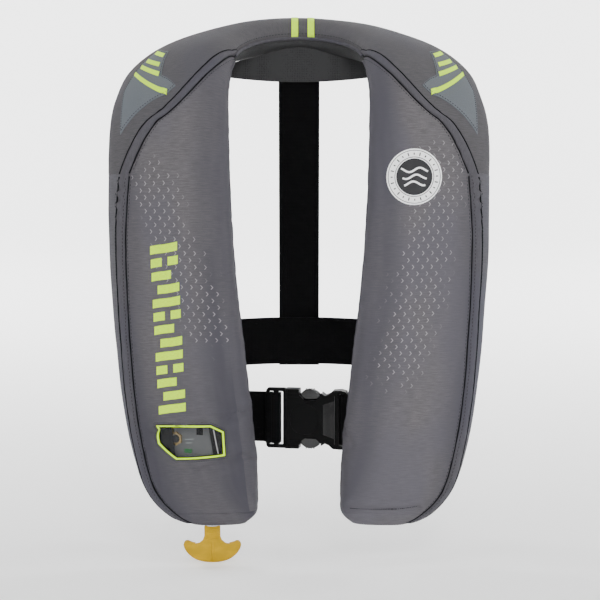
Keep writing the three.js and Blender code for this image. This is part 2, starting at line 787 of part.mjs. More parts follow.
const inflatorBlock = plateXZ([
  [BODY.x0, BODY.z0 + 3], [BODY.x0 + 3, BODY.z0], [BODY.x1 - 3, BODY.z0], [BODY.x1, BODY.z0 + 3],
  [BODY.x1, BODY.z1 - 3], [BODY.x1 - 3, BODY.z1], [BODY.x0 + 3, BODY.z1], [BODY.x0, BODY.z1 - 3],
], BODY.y0, BODY.y1, 1.2);
add('inflator_body', place(cut(
  inflatorBlock,
  block(-32, 3, 1, 5, -21, 20),
  rod('y', PIVOT[1], PIVOT[0], 1.9, -5, 11, 12),
  rod('z', 3, 7, 5.4, 14, 26, 16),
  rod('z', 3, 7, 3.1, 3, 15, 12),
  rod('y', 1, 9, 4.4, -5, 18, 14),
  rod('x', 7, -10, 5.2, 6.6, 14, 14),
), INFLATOR), 'grey', 0.6);

const leverAngle = Math.PI / 4;
const leverTip = [PIVOT[0] - LEVER_ARM * Math.cos(leverAngle), PIVOT[1] + LEVER_ARM * Math.sin(leverAngle)];
const leverBar = block(-LEVER_ARM, 0, 1.5, 4.5, -2.4, 2.4)
  .transform(new THREE.Matrix4().makeRotationY(leverAngle).setPosition(PIVOT[0], 0, PIVOT[1]).elements);
add('inflator_lever', place(cut(
  join(
    leverBar,
    rod('y', PIVOT[1], PIVOT[0], 4.2, 1.5, 4.5, 18),
    rod('y', leverTip[1], leverTip[0], 3.2, 1.5, 4.5, 14),
  ),
  rod('y', PIVOT[1], PIVOT[0], 1.9, 0, 6, 12),
  rod('y', leverTip[1], leverTip[0], 1.5, 0, 6, 10),
), INFLATOR), 'yellow', 0.5);
add('lever_pin', place(rod('y', PIVOT[1], PIVOT[0], 1.5, -3.4, 10.4, 12), INFLATOR), 'steel', 0.4, 0.9);
add('indicator', place(block(-8, 0, 17.4, 18.4, -12.5, -8.5), INFLATOR), 'green', 0.4);

add('bobbin_cap', place(join(
  ring('x', 7, -10, 8, 5.4, 13.4, 21, 18),
  rod('x', 7, -10, 8, 20.6, 23, 18),
), INFLATOR), 'yellow', 0.5);
add('bobbin', place(rod('x', 7, -10, 4.6, 7.2, 19.8, 16), INFLATOR), 'white');

add('manifold', place(join(
  rod('y', 1, 9, 12, -6.8, -4.5, 22),
  rod('y', 1, 9, 3.9, -5, 20.4, 14),
), INFLATOR), 'black', 0.5);
add('manifold_nut', place(cut(
  rod('y', 1, 9, 7, 17.4, 19.8, 6),
  rod('y', 1, 9, 4.3, 17, 20, 14),
), INFLATOR), 'brass', 0.35, 0.9);

add('firing_pin', place(join(
  rod('z', 3, 7, 1.2, 3.6, 13.2, 10),
  rod('z', 3, 7, 2.6, 4.2, 5.4, 12),
), INFLATOR), 'steel', 0.3, 0.9);
add('firing_spring', place(spring(3, 7, 2.2, 0.35, 6.1, 13.2, 4), INFLATOR), 'steel', 0.3, 0.9);

add('cylinder_gasket', place(ring('z', 3, 7, 8, 5.4, 24.4, 25.8, 18), INFLATOR), 'black');
add('co2_cylinder', place(turned('z', 3, 7, [
  [0, 15.2], [4, 15.2], [5, 16.2], [5, 26.4], [6.6, 26.6], [8.8, 30], [10.5, 36], [10.5, 108],
  [9.2, 113.4], [5.6, 117], [0, 118],
], 24), INFLATOR), 'steel', 0.35, 0.9);

// ---------------------------------------------------------------- oral tube and whistle
const TUBE = [-5, 7];
add('tube_flange', place(join(
  rod('y', -50, TUBE[0], 14, -2.6, -0.6, 22),
  block(TUBE[0] - 6, TUBE[0] + 6, -1, 12, -56, -45),
  rod('z', TUBE[0], TUBE[1], 4, -46, -34, 14),
), ORAL), 'bladder', 0.6);
add('oral_tube', place(ring('z', ...TUBE, 6, 4.5, -44.4, 72, 18), ORAL), 'bladder', 0.5);
add('oral_valve_body', place(turned('z', ...TUBE, [
  [6.4, 62], [8, 62], [8, 88], [2.4, 88], [2.4, 84], [5, 84], [5, 73.4], [6.4, 73.4], [6.4, 62],
], 20), ORAL), 'black', 0.5);
add('oral_poppet', place(join(
  rod('z', ...TUBE, 1.9, 79, 91, 12),
  rod('z', ...TUBE, 4, 79, 81.4, 14),
), ORAL), 'black', 0.5);
add('oral_spring', place(spring(...TUBE, 3.3, 0.4, 66.2, 78.2, 4), ORAL), 'steel', 0.3, 0.9);
add('dust_cap', place(turned('z', ...TUBE, [
  [0, 98], [9.2, 98], [10, 97], [10, 78], [8.4, 78], [8.4, 95.8], [0, 95.8],
], 20), ORAL), 'orange', 0.5);

const WHISTLE = [27, 7];
const whistleBody = plateXZ([
  [-7, -64], [7, -64], [8, -62], [8, -30], [6, -26], [3, -24.4], [-3, -24.4], [-6, -26], [-8, -30], [-8, -62],
], -4, 4, 0.8).transform(new THREE.Matrix4().makeTranslation(WHISTLE[0], WHISTLE[1], 0).elements);
add('whistle', place(cut(
  whistleBody,
  rod('y', -29, WHISTLE[0], 1.8, 0, 14, 12),
  block(WHISTLE[0] - 5, WHISTLE[0] + 5, 8.4, 12, -52, -48),
), ORAL), 'orange', 0.4);
add('whistle_lanyard', place(wire([
  new THREE.Vector3(WHISTLE[0], WHISTLE[1] - 6, -29),
  new THREE.Vector3(WHISTLE[0], WHISTLE[1] - 5.6, -20),
  new THREE.Vector3(WHISTLE[0], WHISTLE[1] - 3, -4),
  new THREE.Vector3(WHISTLE[0], WHISTLE[1], 14),
], 1.1, 10, 8), ORAL), 'white');

export default life_jacket;
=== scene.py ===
import math

import bmesh
import bpy
import numpy as np
from mathutils import Matrix, Vector
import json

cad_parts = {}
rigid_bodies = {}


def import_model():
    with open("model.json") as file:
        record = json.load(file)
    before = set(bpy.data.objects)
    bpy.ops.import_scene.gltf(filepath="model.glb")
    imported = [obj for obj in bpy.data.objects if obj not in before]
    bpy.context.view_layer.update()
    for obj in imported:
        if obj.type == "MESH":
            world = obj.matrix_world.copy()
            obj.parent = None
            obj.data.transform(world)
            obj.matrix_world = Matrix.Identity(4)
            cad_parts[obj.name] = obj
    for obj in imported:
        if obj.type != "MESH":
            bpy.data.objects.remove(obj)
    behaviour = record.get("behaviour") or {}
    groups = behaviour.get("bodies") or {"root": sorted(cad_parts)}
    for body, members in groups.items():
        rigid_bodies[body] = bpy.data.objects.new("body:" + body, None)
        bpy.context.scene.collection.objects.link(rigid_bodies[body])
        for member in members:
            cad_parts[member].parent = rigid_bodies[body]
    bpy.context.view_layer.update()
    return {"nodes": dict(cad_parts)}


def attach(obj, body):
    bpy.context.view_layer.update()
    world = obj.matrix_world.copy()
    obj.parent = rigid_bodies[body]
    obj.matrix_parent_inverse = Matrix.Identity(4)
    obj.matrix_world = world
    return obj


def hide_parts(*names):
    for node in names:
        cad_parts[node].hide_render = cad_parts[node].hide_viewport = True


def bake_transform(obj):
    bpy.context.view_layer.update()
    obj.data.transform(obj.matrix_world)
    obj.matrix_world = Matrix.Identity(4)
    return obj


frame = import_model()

MM = 0.001

# ------------------------------------------------------------------ the horseshoe surface
# Right half stations: inner rail, outer rail, front half thickness, in millimetres.
STATIONS = [
    ((52, -108, -419), (106, -98, -422), 11),
    ((43, -112, -409), (128, -93, -415), 15),
    ((42, -115, -394), (145, -85, -401), 20),
    ((42.5, -119, -372), (157, -77, -381), 22),
    ((45, -121, -340), (167, -69, -345), 23),
    ((51, -124, -284), (175.5, -64, -298), 22.5),
    ((56, -124, -238), (181, -61, -245), 21.5),
    ((62, -121, -186), (185.5, -58, -190), 20.5),
    ((66.5, -114, -130), (188, -54, -134), 20),
    ((69.5, -99, -74), (189, -43, -82), 20),
    ((71, -72, -24), (189, -22, -34), 20),
    ((71.5, -36, 14), (184, 4, -8), 20),
    ((66, 4, 40), (173, 44, 14), 20),
    ((53, 40, 51), (143, 95, 32), 20.5),
    ((30, 63, 57), (81, 145, 47), 21),
    ((0, 73, 59), (0, 170, 53), 21),
]
SEAM = [50, 48, 48, 48, 50, 52, 54, 56, 58, 64, 91, 132, 182, 184, 184, 184]
POWER = 2 / 2.6
BACK_RATIO = 0.8
START = 1.25
FLAP_TURN = 150
PIPING = 196


def full_rail(values):
    right = np.array(values, float)
    left = right * np.array([-1, 1, 1.0])
    return np.concatenate([left, right[::-1][1:]])


INNER = full_rail([s[0] for s in STATIONS])
OUTER = full_rail([s[1] for s in STATIONS])
DEPTH = full_rail([(0, s[2], 0) for s in STATIONS])


def curve_through(points, t):
    n = len(points) - 1
    t = np.asarray(t, float)
    i = np.clip(np.floor(t * n).astype(int), 0, n - 1)
    w = (t * n - i)[:, None]
    before = np.where((i > 0)[:, None], points[np.maximum(i - 1, 0)], 2 * points[0] - points[1])
    after = np.where((i + 2 <= n)[:, None], points[np.minimum(i + 2, n)], 2 * points[n] - points[n - 1])
    a, b = points[i], points[i + 1]
    u, v = (b - before) * 0.5, (after - a) * 0.5
    return (2 * a - 2 * b + u + v) * w ** 3 + (-3 * a + 3 * b - 2 * u - v) * w * w + u * w + a


def unit(v):
    return v / np.linalg.norm(v, axis=1, keepdims=True)


def run_length(points):
    """The distance along a line from its first point to each of its points."""
    return np.concatenate([[0], np.cumsum(np.linalg.norm(np.diff(points, axis=0), axis=1))])


def section(t):
    """Centre, across and front directions, half width and half thickness of the horseshoe's sections."""
    inner, outer = curve_through(INNER, t), curve_through(OUTER, t)
    ahead, behind = np.minimum(1, t + 1e-3), np.maximum(0, t - 1e-3)
    along = curve_through(INNER, ahead) + curve_through(OUTER, ahead)
    along = unit(along - curve_through(INNER, behind) - curve_through(OUTER, behind))
    half = np.linalg.norm(outer - inner, axis=1, keepdims=True) / 2
    across = (outer - inner) / (2 * half)
    front = unit(np.cross(along, across))
    return (inner + outer) / 2, across, front, half, curve_through(DEPTH, t)[:, 1:2]


def powered(x, p=POWER):
    """A sine or cosine bent towards a squarer round."""
    return np.sign(x) * np.abs(x) ** p


def surface(t, turn, inset=0.0):
    """Points in millimetres on the cover: turn 0 is the outer edge, 90 the front, 180 the inner edge."""
    t, turn, inset = (np.asarray(x, float).ravel() for x in np.broadcast_arrays(t, turn, inset))
    centre, across, front, half, depth = section(t)
    side = powered(np.cos(np.radians(turn)))[:, None]
    rise = powered(np.sin(np.radians(turn)))[:, None]
    reach = np.where(rise >= 0, depth, depth * BACK_RATIO)
    inset = inset[:, None]
    return centre + across * (half - inset) * side + front * (reach - inset) * rise


def station_of(t):
    return np.minimum(t, 1 - t) * 30


def seam_turn(t):
    return np.interp(station_of(t), np.arange(16), SEAM)


def at(station, side):
    return station / 30 if side < 0 else 1 - station / 30


# Arc length tables for the weave coordinates, which start at turn 90 and at the left lobe's end.
TABLE_T = np.linspace(0, 1, 181)
TABLE_TURN = np.linspace(-60, 340, 201)
FRONT_COLUMN = 75
ACROSS = np.array([run_length(surface(t, TABLE_TURN)) for t in TABLE_T])
ACROSS -= ACROSS[:, FRONT_COLUMN:FRONT_COLUMN + 1]
ALONG = run_length(section(TABLE_T)[0])


def weave_uv(t, v):
    """Metres of cloth across and along the horseshoe at each place."""
    i = np.clip(t * 180, 0, 179.999)
    j = np.clip((v + 60) / 2, 0, 199.999)
    a, b = i.astype(int), j.astype(int)
    x, y = i - a, j - b
    u = (
        ACROSS[a, b] * (1 - x) * (1 - y) + ACROSS[a + 1, b] * x * (1 - y)
        + ACROSS[a, b + 1] * (1 - x) * y + ACROSS[a + 1, b + 1] * x * y
    )
    return np.stack([u, np.interp(t, TABLE_T, ALONG)], axis=1) / 1000


def ripple(x, y, seed, size):
    """Smooth repeatable noise from -1 to 1; x, y and size in millimetres."""
    rng = np.random.default_rng(seed)
    total = np.zeros_like(x)
    for _ in range(9):
        angle = rng.uniform(0, math.pi * 2)
        reach = size * rng.uniform(0.7, 1.6)
        phase = rng.uniform(0, math.pi * 2)
        total += np.sin((x * math.cos(angle) + y * math.sin(angle)) * 2 * math.pi / reach + phase)
    return total / 4.5


# ------------------------------------------------------------------ mesh helpers
def new_object(name, vertices, faces, smooth=True, uv=None):
    mesh = bpy.data.meshes.new(name)
    mesh.from_pydata([tuple(v) for v in np.asarray(vertices) * MM], [], [tuple(f) for f in faces])
    mesh.validate()
    mesh.update()
    if uv is not None:
        layer = mesh.uv_layers.new(name="weave")
        index = np.zeros(len(mesh.loops), int)
        mesh.loops.foreach_get("vertex_index", index)
        layer.data.foreach_set("uv", uv[index].astype(np.float32).ravel())
    if smooth:
        mesh.polygons.foreach_set("use_smooth", [True] * len(mesh.polygons))
    obj = bpy.data.objects.new(name, mesh)
    bpy.context.scene.collection.objects.link(obj)
    return obj


def face_out(obj):
    """Turns every face outwards."""
    bm = bmesh.new()
    bm.from_mesh(obj.data)
    bmesh.ops.recalc_face_normals(bm, faces=bm.faces)
    bm.to_mesh(obj.data)
    bm.free()
    return obj


def apply_modifiers(obj):
    bpy.context.view_layer.update()
    evaluated = obj.evaluated_get(bpy.context.evaluated_depsgraph_get())
    mesh = bpy.data.meshes.new_from_object(evaluated)
    old = obj.data
    obj.modifiers.clear()
    obj.data = mesh
    mesh.name = obj.name
    bpy.data.meshes.remove(old)


def ring_faces(rings, sides, first=0):
    """Four-sided faces from each ring of vertices to the next."""
    faces = []
    for ring in range(rings - 1):
        for k in range(sides):
            a, b = (first + ring * sides + j for j in (k, (k + 1) % sides))
            faces.append((a, b, b + sides, a + sides))
    return faces


def end_faces(rings, sides, first=0):
    """The two faces that close a stack of rings."""
    last = first + (rings - 1) * sides
    return [tuple(reversed(range(first, first + sides))), tuple(range(last, last + sides))]


def bevelled(obj, width, segments=3):
    modifier = obj.modifiers.new("bevel", "BEVEL")
    modifier.width = width * MM
    modifier.segments = segments
    modifier.limit_method = "ANGLE"
    modifier.angle_limit = math.radians(35)
    apply_modifiers(obj)
    obj.data.polygons.foreach_set("use_smooth", [True] * len(obj.data.polygons))
    obj.data.set_sharp_from_angle(angle=math.radians(40))
    return obj


def carve(obj, *tools):
    """Cuts each tool out of the object and removes the tool."""
    for tool in tools:
        modifier = obj.modifiers.new("carve", "BOOLEAN")
        modifier.operation = "DIFFERENCE"
        modifier.solver = "EXACT"
        modifier.object = tool
        apply_modifiers(obj)
        bpy.data.objects.remove(tool, do_unlink=True)
    return obj


def paint(obj, *materials):
    obj.data.materials.clear()
    for material in materials:
        obj.data.materials.append(material)
    return obj


def inside(points, polygon):
    """Which of the points lie in a polygon."""
    x, y = points[:, 0], points[:, 1]
    found = np.zeros(len(points), bool)
    for (x0, y0), (x1, y1) in zip(polygon, polygon[1:] + polygon[:1]):
        crosses = (y0 > y) != (y1 > y)
        with np.errstate(divide="ignore", invalid="ignore"):
            found ^= crosses & (x < (x1 - x0) * (y - y0) / (y1 - y0) + x0)
    return found


def cut_along(bm, polygon, margin=1.0):
    """Cuts the flat mesh along each edge of a convex polygon, near that polygon."""
    centre = np.mean(polygon, axis=0)
    reach = max(math.dist(p, centre) for p in polygon) + margin
    for (x0, y0), (x1, y1) in zip(polygon, polygon[1:] + polygon[:1]):
        near = [f for f in bm.faces if math.dist(f.calc_center_median()[:2], centre) < reach]
        geometry = [*{v for f in near for v in f.verts}, *{e for f in near for e in f.edges}, *near]
        bmesh.ops.bisect_plane(
            bm, geom=geometry, dist=1e-6, plane_co=(x0, y0, 0), plane_no=(y1 - y0, x0 - x1, 0)
        )


def punch(bm, polygon, margin=1.0):
    """Cuts a polygon out of the flat mesh."""
    cut_along(bm, polygon, margin)
    centres = np.array([f.calc_center_median()[:2] for f in bm.faces])
    gone = [f for f, hit in zip(list(bm.faces), inside(centres, polygon)) if hit]
    bmesh.ops.delete(bm, geom=gone, context="FACES")


def wrap(name, bm, outer, inner):
    """Turns a flat mesh in (turn / 10, 30 t) space into a closed skin on the horseshoe surface."""
    bm.verts.ensure_lookup_table()
    flat = np.array([v.co[:2] for v in bm.verts])
    turn, t = flat[:, 0] * 10, flat[:, 1] / 30
    count = len(flat)
    top = surface(t, turn, outer(t, turn))
    low = surface(t, turn, inner(t, turn))
    faces = [[v.index for v in f.verts] for f in bm.faces]
    under = [[v + count for v in reversed(f)] for f in faces]
    walls = [
        (e.verts[0].index, e.verts[1].index, e.verts[1].index + count, e.verts[0].index + count)
        for e in bm.edges if len(e.link_faces) == 1
    ]
    bm.free()
    uv = weave_uv(t, turn)
    obj = new_object(name, np.concatenate([top, low]), faces + under + walls, uv=np.concatenate([uv, uv]))
    face_out(obj)
    obj.data.set_sharp_from_angle(angle=math.radians(50))
    return obj


def grid_mesh(rows):
    """A flat mesh through rows of (turn / 10, 30 t) points."""
    bm = bmesh.new()
    lines = [[bm.verts.new((x, y, 0)) for x, y in row] for row in rows]
    for low, high in zip(lines, lines[1:]):
        for j in range(len(low) - 1):
            bm.faces.new((low[j], low[j + 1], high[j + 1], high[j]))
    bm.verts.index_update()
    return bm


def edge_distance(t, turn, start, end, seams, t_low, t_high):
    """Distance in millimetres to the nearest sewn edge of a panel."""
    here = surface(t, turn)
    gaps = [np.full(len(t), 200.0)]
    edges = ((t, start(t)), (t, end(t)), (np.full_like(t, t_low), turn), (np.full_like(t, t_high), turn))
    for sewn, (edge_t, edge_turn) in zip(seams, edges):
        if sewn:
            gaps.append(np.linalg.norm(here - surface(edge_t, edge_turn), axis=1))
    return np.min(gaps, axis=0)


# ------------------------------------------------------------------ materials
class Nodes:
    """Small builder for shader graphs."""

    INPUTS = {
        "colour": "Base Color", "rough": "Roughness", "metal": "Metallic", "sheen": "Sheen Weight",
        "sheen_rough": "Sheen Roughness", "specular": "Specular IOR Level", "alpha": "Alpha",
        "light": "Emission Color", "glow": "Emission Strength",
    }

    def __init__(self, name, in_place=False):
        self.in_place = in_place
        self.material = bpy.data.materials.new(name)
        self.material.use_nodes = True
        self.tree = self.material.node_tree
        self.shader = self.tree.nodes["Principled BSDF"]

    def add(self, kind, **settings):
        node = self.tree.nodes.new(kind)
        for key, value in settings.items():
            setattr(node, key, value)
        return node

    def link(self, source, target):
        self.tree.links.new(source, target)
        return target

    def feed(self, socket, value):
        if isinstance(value, bpy.types.NodeSocket):
            self.link(value, socket)
        else:
            socket.default_value = value

    def math(self, operation, a, b=0.0):
        node = self.add("ShaderNodeMath", operation=operation)
        for socket, value in zip(node.inputs, (a, b)):
            self.feed(socket, value)
        return node.outputs[0]

    def plus(self, a, b):
        return self.math("ADD", a, b)

    def minus(self, a, b):
        return self.math("SUBTRACT", a, b)

    def times(self, a, b):
        return self.math("MULTIPLY", a, b)

    def absolute(self, value):
        return self.math("ABSOLUTE", value)

    def smooth(self, value, low, high, to_low=0.0, to_high=1.0):
        node = self.add("ShaderNodeMapRange", interpolation_type="SMOOTHSTEP")
        for socket, item in zip(node.inputs, (value, low, high, to_low, to_high)):
            self.feed(socket, item)
        return node.outputs[0]

    def mix(self, factor, a, b):
        node = self.add("ShaderNodeMix", data_type="RGBA")
        self.feed(node.inputs[0], factor)
        for socket, value in ((node.inputs[6], a), (node.inputs[7], b)):
            self.feed(socket, (*value, 1) if isinstance(value, tuple) else value)
        return node.outputs[2]

    def millimetres(self, source):
        scaled = self.add("ShaderNodeVectorMath", operation="SCALE")
        self.link(source, scaled.inputs[0])
        scaled.inputs["Scale"].default_value = 1000
        return scaled.outputs[0]

    def uv(self):
        """Weave coordinates in millimetres, together and as separate x and y."""
        if self.in_place:
            split = self.add("ShaderNodeSeparateXYZ")
            self.link(self.place(), split.inputs[0])
            flat = self.add("ShaderNodeCombineXYZ")
            self.link(split.outputs[0], flat.inputs[0])
            self.link(split.outputs[2], flat.inputs[1])
            self.link(split.outputs[1], flat.inputs[2])
            return flat.outputs[0], split.outputs[0], split.outputs[2]
        weave = self.millimetres(self.add("ShaderNodeUVMap", uv_map="weave").outputs[0])
        split = self.add("ShaderNodeSeparateXYZ")
        self.link(weave, split.inputs[0])
        return weave, split.outputs[0], split.outputs[1]

    def place(self):
        """Object coordinates in millimetres."""
        return self.millimetres(self.add("ShaderNodeTexCoord").outputs["Object"])

    def stretched(self, vector, x, y, z=1.0):
        node = self.add("ShaderNodeVectorMath", operation="MULTIPLY")
        self.link(vector, node.inputs[0])
        node.inputs[1].default_value = (x, y, z)
        return node.outputs[0]

    def noise(self, vector, scale=1.0, detail=2.0, rough=0.5):
        node = self.add("ShaderNodeTexNoise")
        self.link(vector, node.inputs["Vector"])
        node.inputs["Scale"].default_value = scale
        node.inputs["Detail"].default_value = detail
        node.inputs["Roughness"].default_value = rough
        return node.outputs[0]

    def wave(self, value, period):
        return self.math("SINE", self.times(value, 2 * math.pi / period))

    def bump(self, height, strength=0.3, distance=0.3):
        node = self.add("ShaderNodeBump")
        node.inputs["Strength"].default_value = strength
        node.inputs["Distance"].default_value = distance * MM
        self.link(height, node.inputs["Height"])
        self.link(node.outputs[0], self.shader.inputs["Normal"])

    def set(self, **values):
        for key, value in values.items():
            self.feed(self.shader.inputs[self.INPUTS[key]], value)


def tone(colour, factor):
    return tuple(min(1.0, c * factor) for c in colour)


def woven(name, colour, contrast=0.26, streak=(0.09, 1.1), bump=0.45, patches=0.1, sheen=0.0, marks=None,
          hue=(0.93, 0.95, 1.10), in_place=False, painted_shade=False, low_shade=0.0):
    """Woven pack cloth: horizontal heathered yarns, a fine rib and a soft unevenness of dye, with painted shade
    on its sides and lower end when asked.
    """
    n = Nodes(name, in_place)
    vector, x, y = n.uv()
    yarns = n.noise(n.stretched(vector, streak[0], streak[1]), 1.0, 3.0, 0.65)
    fine = n.noise(n.stretched(vector, 0.9, 2.4), 1.0, 2.0, 0.5)
    cloudy = n.noise(n.stretched(vector, 0.011, 0.006), 1.0, 2.0, 0.5)
    weft = n.wave(y, 1.05)
    warp = n.wave(x, 1.05)
    blend = n.smooth(yarns, 0.28, 0.72)
    colour_out = n.mix(blend, tone(colour, 1 - contrast), tone(colour, 1 + contrast))
    colour_out = n.mix(n.smooth(fine, 0.3, 0.7, 0.0, 0.45), colour_out, tone(colour, 0.6))
    tinted = tuple(c * k for c, k in zip(tone(colour, 0.82), hue))
    colour_out = n.mix(n.smooth(cloudy, 0.42, 0.62, 0.0, patches * 6), colour_out, tinted)
    # Painted shade: the colour darkens in uneven patches towards the outer and inner sides and, by low_shade,
    # towards the lower end.
    if painted_shade:
        shade_colour = tuple(c * k for c, k in zip(tone(colour, 0.5), hue))
        outer_side = n.smooth(x, -60, -8, 0.95, 0.0)
        inner_shade = n.smooth(x, 24, 58, 0.0, 0.75)
        uneven = n.noise(n.stretched(vector, 0.045, 0.008), 1.0, 2.0, 0.5)
        lower_shade = n.smooth(y, 30, 230, low_shade, 0.0)
        shade = n.plus(n.plus(outer_side, inner_shade), lower_shade)
        amount = n.times(shade, n.smooth(uneven, 0.3, 0.6, 0.7, 1.0))
        colour_out = n.mix(amount, colour_out, shade_colour)
    height = n.plus(n.times(weft, 0.5), n.times(warp, 0.25))
    height = n.plus(height, n.times(yarns, 1.6))
    if marks is not None:
        mask = marks(n, x, y)
        colour_out = n.mix(n.times(mask, 0.5), colour_out, tone(colour, 4.0))
        height = n.plus(height, n.times(mask, 2.0))
    n.set(colour=colour_out)
    n.bump(height, bump, 0.25)
    n.set(rough=n.smooth(yarns, 0.2, 0.8, 0.8, 0.93), sheen=sheen, sheen_rough=0.5, specular=0.15)
    return n.material


CHEVRON_WIDTH, CHEVRON_HEIGHT = 10.4, 6.5


def chevron_marks(start, end, reach, facing):
    """Small raised hooks in staggered rows, fading out away from a slanting line on the cover."""
    (x0, y0), (x1, y1) = weave_uv(np.array([start[0], end[0]]), np.array([start[1], end[1]])) * 1000
    slope = (x1 - x0) / (y1 - y0)
    low, high = min(y0, y1), max(y0, y1)

    def build(n, x, y):
        row = n.math("DIVIDE", y, CHEVRON_HEIGHT)
        odd = n.absolute(n.math("MODULO", n.math("FLOOR", row), 2.0))
        column = n.plus(n.math("DIVIDE", x, CHEVRON_WIDTH), n.times(odd, 0.5))
        cx, cy = (
            n.times(n.minus(n.math("FRACT", n.plus(cell, 100.0)), 0.5), size)
            for cell, size in ((column, CHEVRON_WIDTH * facing), (row, CHEVRON_HEIGHT))
        )
        height = n.absolute(cy)
        line = n.absolute(n.minus(n.plus(cx, n.times(height, 0.85)), 1.1))
        mark = n.times(n.smooth(line, 0.3, 0.75, 1.0, 0.0), n.smooth(height, 1.7, 2.4, 1.0, 0.0))
        spot = n.plus(n.math("FLOOR", column), n.times(n.math("FLOOR", row), 17.3))
        chance = n.math("FRACT", n.times(n.math("SINE", n.times(spot, 12.9)), 437.5))
        middle = n.plus(n.times(y, slope), x0 - slope * y0)
        away = n.absolute(n.minus(x, middle))
        ends = n.times(n.smooth(y, low - 30, low + 30), n.smooth(y, high - 40, high + 30, 1.0, 0.0))
        field = n.times(n.smooth(away, reach * 0.2, reach, 1.0, 0.0), ends)
        shown = n.smooth(n.minus(field, n.times(chance, 0.6)), 0.0, 0.6)
        return n.times(mark, shown)
    return build


def webbing_material(name, colour=(0.0022, 0.0022, 0.0025), in_place=False, upright=False):
    n = Nodes(name, in_place)
    vector, x, y = n.uv()
    if upright:
        x, y = y, x
    ribs = n.wave(x, 2.1)
    diagonal = n.wave(n.plus(y, n.times(n.absolute(ribs), 0.6)), 1.5)
    dust = n.noise(n.stretched(vector, 0.05, 0.05), 1.0, 3.0, 0.6)
    colour_out = n.mix(n.smooth(diagonal, -1, 1), tone(colour, 0.6), tone(colour, 1.7))
    colour_out = n.mix(n.smooth(dust, 0.5, 0.75, 0, 0.25), colour_out, tone(colour, 2.4))
    n.set(colour=colour_out)
    n.bump(n.plus(ribs, n.times(diagonal, 0.6)), 0.4, 0.3)
    n.set(rough=0.8, specular=0.06)
    return n.material


def moulded(name, colour, rough=0.3, grain=0.12, specular=0.5):
    n = Nodes(name)
    place = n.place()
    grainy = n.noise(place, 1.4, 3.0, 0.6)
    swirl = n.noise(n.stretched(place, 0.06, 0.06, 0.12), 1.0, 3.0, 0.55)
    colour_out = n.mix(n.smooth(swirl, 0.35, 0.7), tone(colour, 0.9), tone(colour, 1.12))
    n.set(colour=colour_out)
    n.bump(grainy, grain, 0.12)
    n.set(rough=n.smooth(swirl, 0.3, 0.75, rough * 0.88, rough * 1.12), specular=specular)
    return n.material


def printed(name, colour, rough=0.55, glow=0.0):
    n = Nodes(name)
    vector, _, y = n.uv()
    worn = n.noise(n.stretched(vector, 0.35, 1.3), 1.0, 3.0, 0.6)
    colour_out = n.mix(n.smooth(worn, 0.3, 0.75), tone(colour, 0.9), tone(colour, 1.08))
    n.set(colour=colour_out)
    n.bump(n.plus(n.wave(y, 1.05), worn), 0.12, 0.2)
    n.set(rough=rough, specular=0.35)
    # Where glow is given, the print glows by emission: painted light.
    if glow:
        n.set(light=colour_out, glow=glow)
    return n.material


def metal(name, colour, rough=0.3, brushed=True):
    n = Nodes(name)
    place = n.place()
    lines = n.noise(n.stretched(place, 0.5, 0.5, 9.0) if brushed else place, 1.0, 3.0, 0.6)
    colour_out = n.mix(lines, tone(colour, 0.85), tone(colour, 1.1))
    n.set(colour=colour_out)
    n.bump(lines, 0.08, 0.1)
    n.set(metal=1.0, rough=n.smooth(lines, 0.3, 0.7, rough * 0.8, rough * 1.3))
    return n.material


def mesh_cloth(name, colour, in_place=False):
    """Dark spacer mesh: small round openings in staggered rows."""
    n = Nodes(name, in_place)
    vector, _, _ = n.uv()
    cells = n.add("ShaderNodeTexVoronoi")
    n.link(n.stretched(vector, 0.55, 0.55), cells.inputs["Vector"])
    cells.inputs["Scale"].default_value = 1.0
    cells.inputs["Randomness"].default_value = 0.25
    pits = n.smooth(cells.outputs["Distance"], 0.15, 0.42)
    cloudy = n.noise(n.stretched(vector, 0.02, 0.02), 1.0, 2.0, 0.5)
    colour_out = n.mix(pits, tone(colour, 0.65), tone(colour, 1.12))
    colour_out = n.mix(n.smooth(cloudy, 0.4, 0.7, 0, 0.3), colour_out, tone(colour, 0.8))
    n.set(colour=colour_out)
    n.bump(pits, 0.35, 0.4)
    n.set(rough=0.92, specular=0.12)
    return n.material


def clear_vinyl(name):
    n = Nodes(name)
    place = n.place()
    haze = n.noise(n.stretched(place, 0.08, 0.08, 0.08), 1.0, 3.0, 0.5)
    # The sheet's dark tint is painted shade: it dims everything seen through it.
    colour_out = n.mix(haze, (0.02, 0.021, 0.022), (0.035, 0.036, 0.038))
    n.set(colour=colour_out)
    n.bump(haze, 0.15, 0.4)
    n.set(rough=0.1, alpha=0.26, specular=0.35)
    return n.material


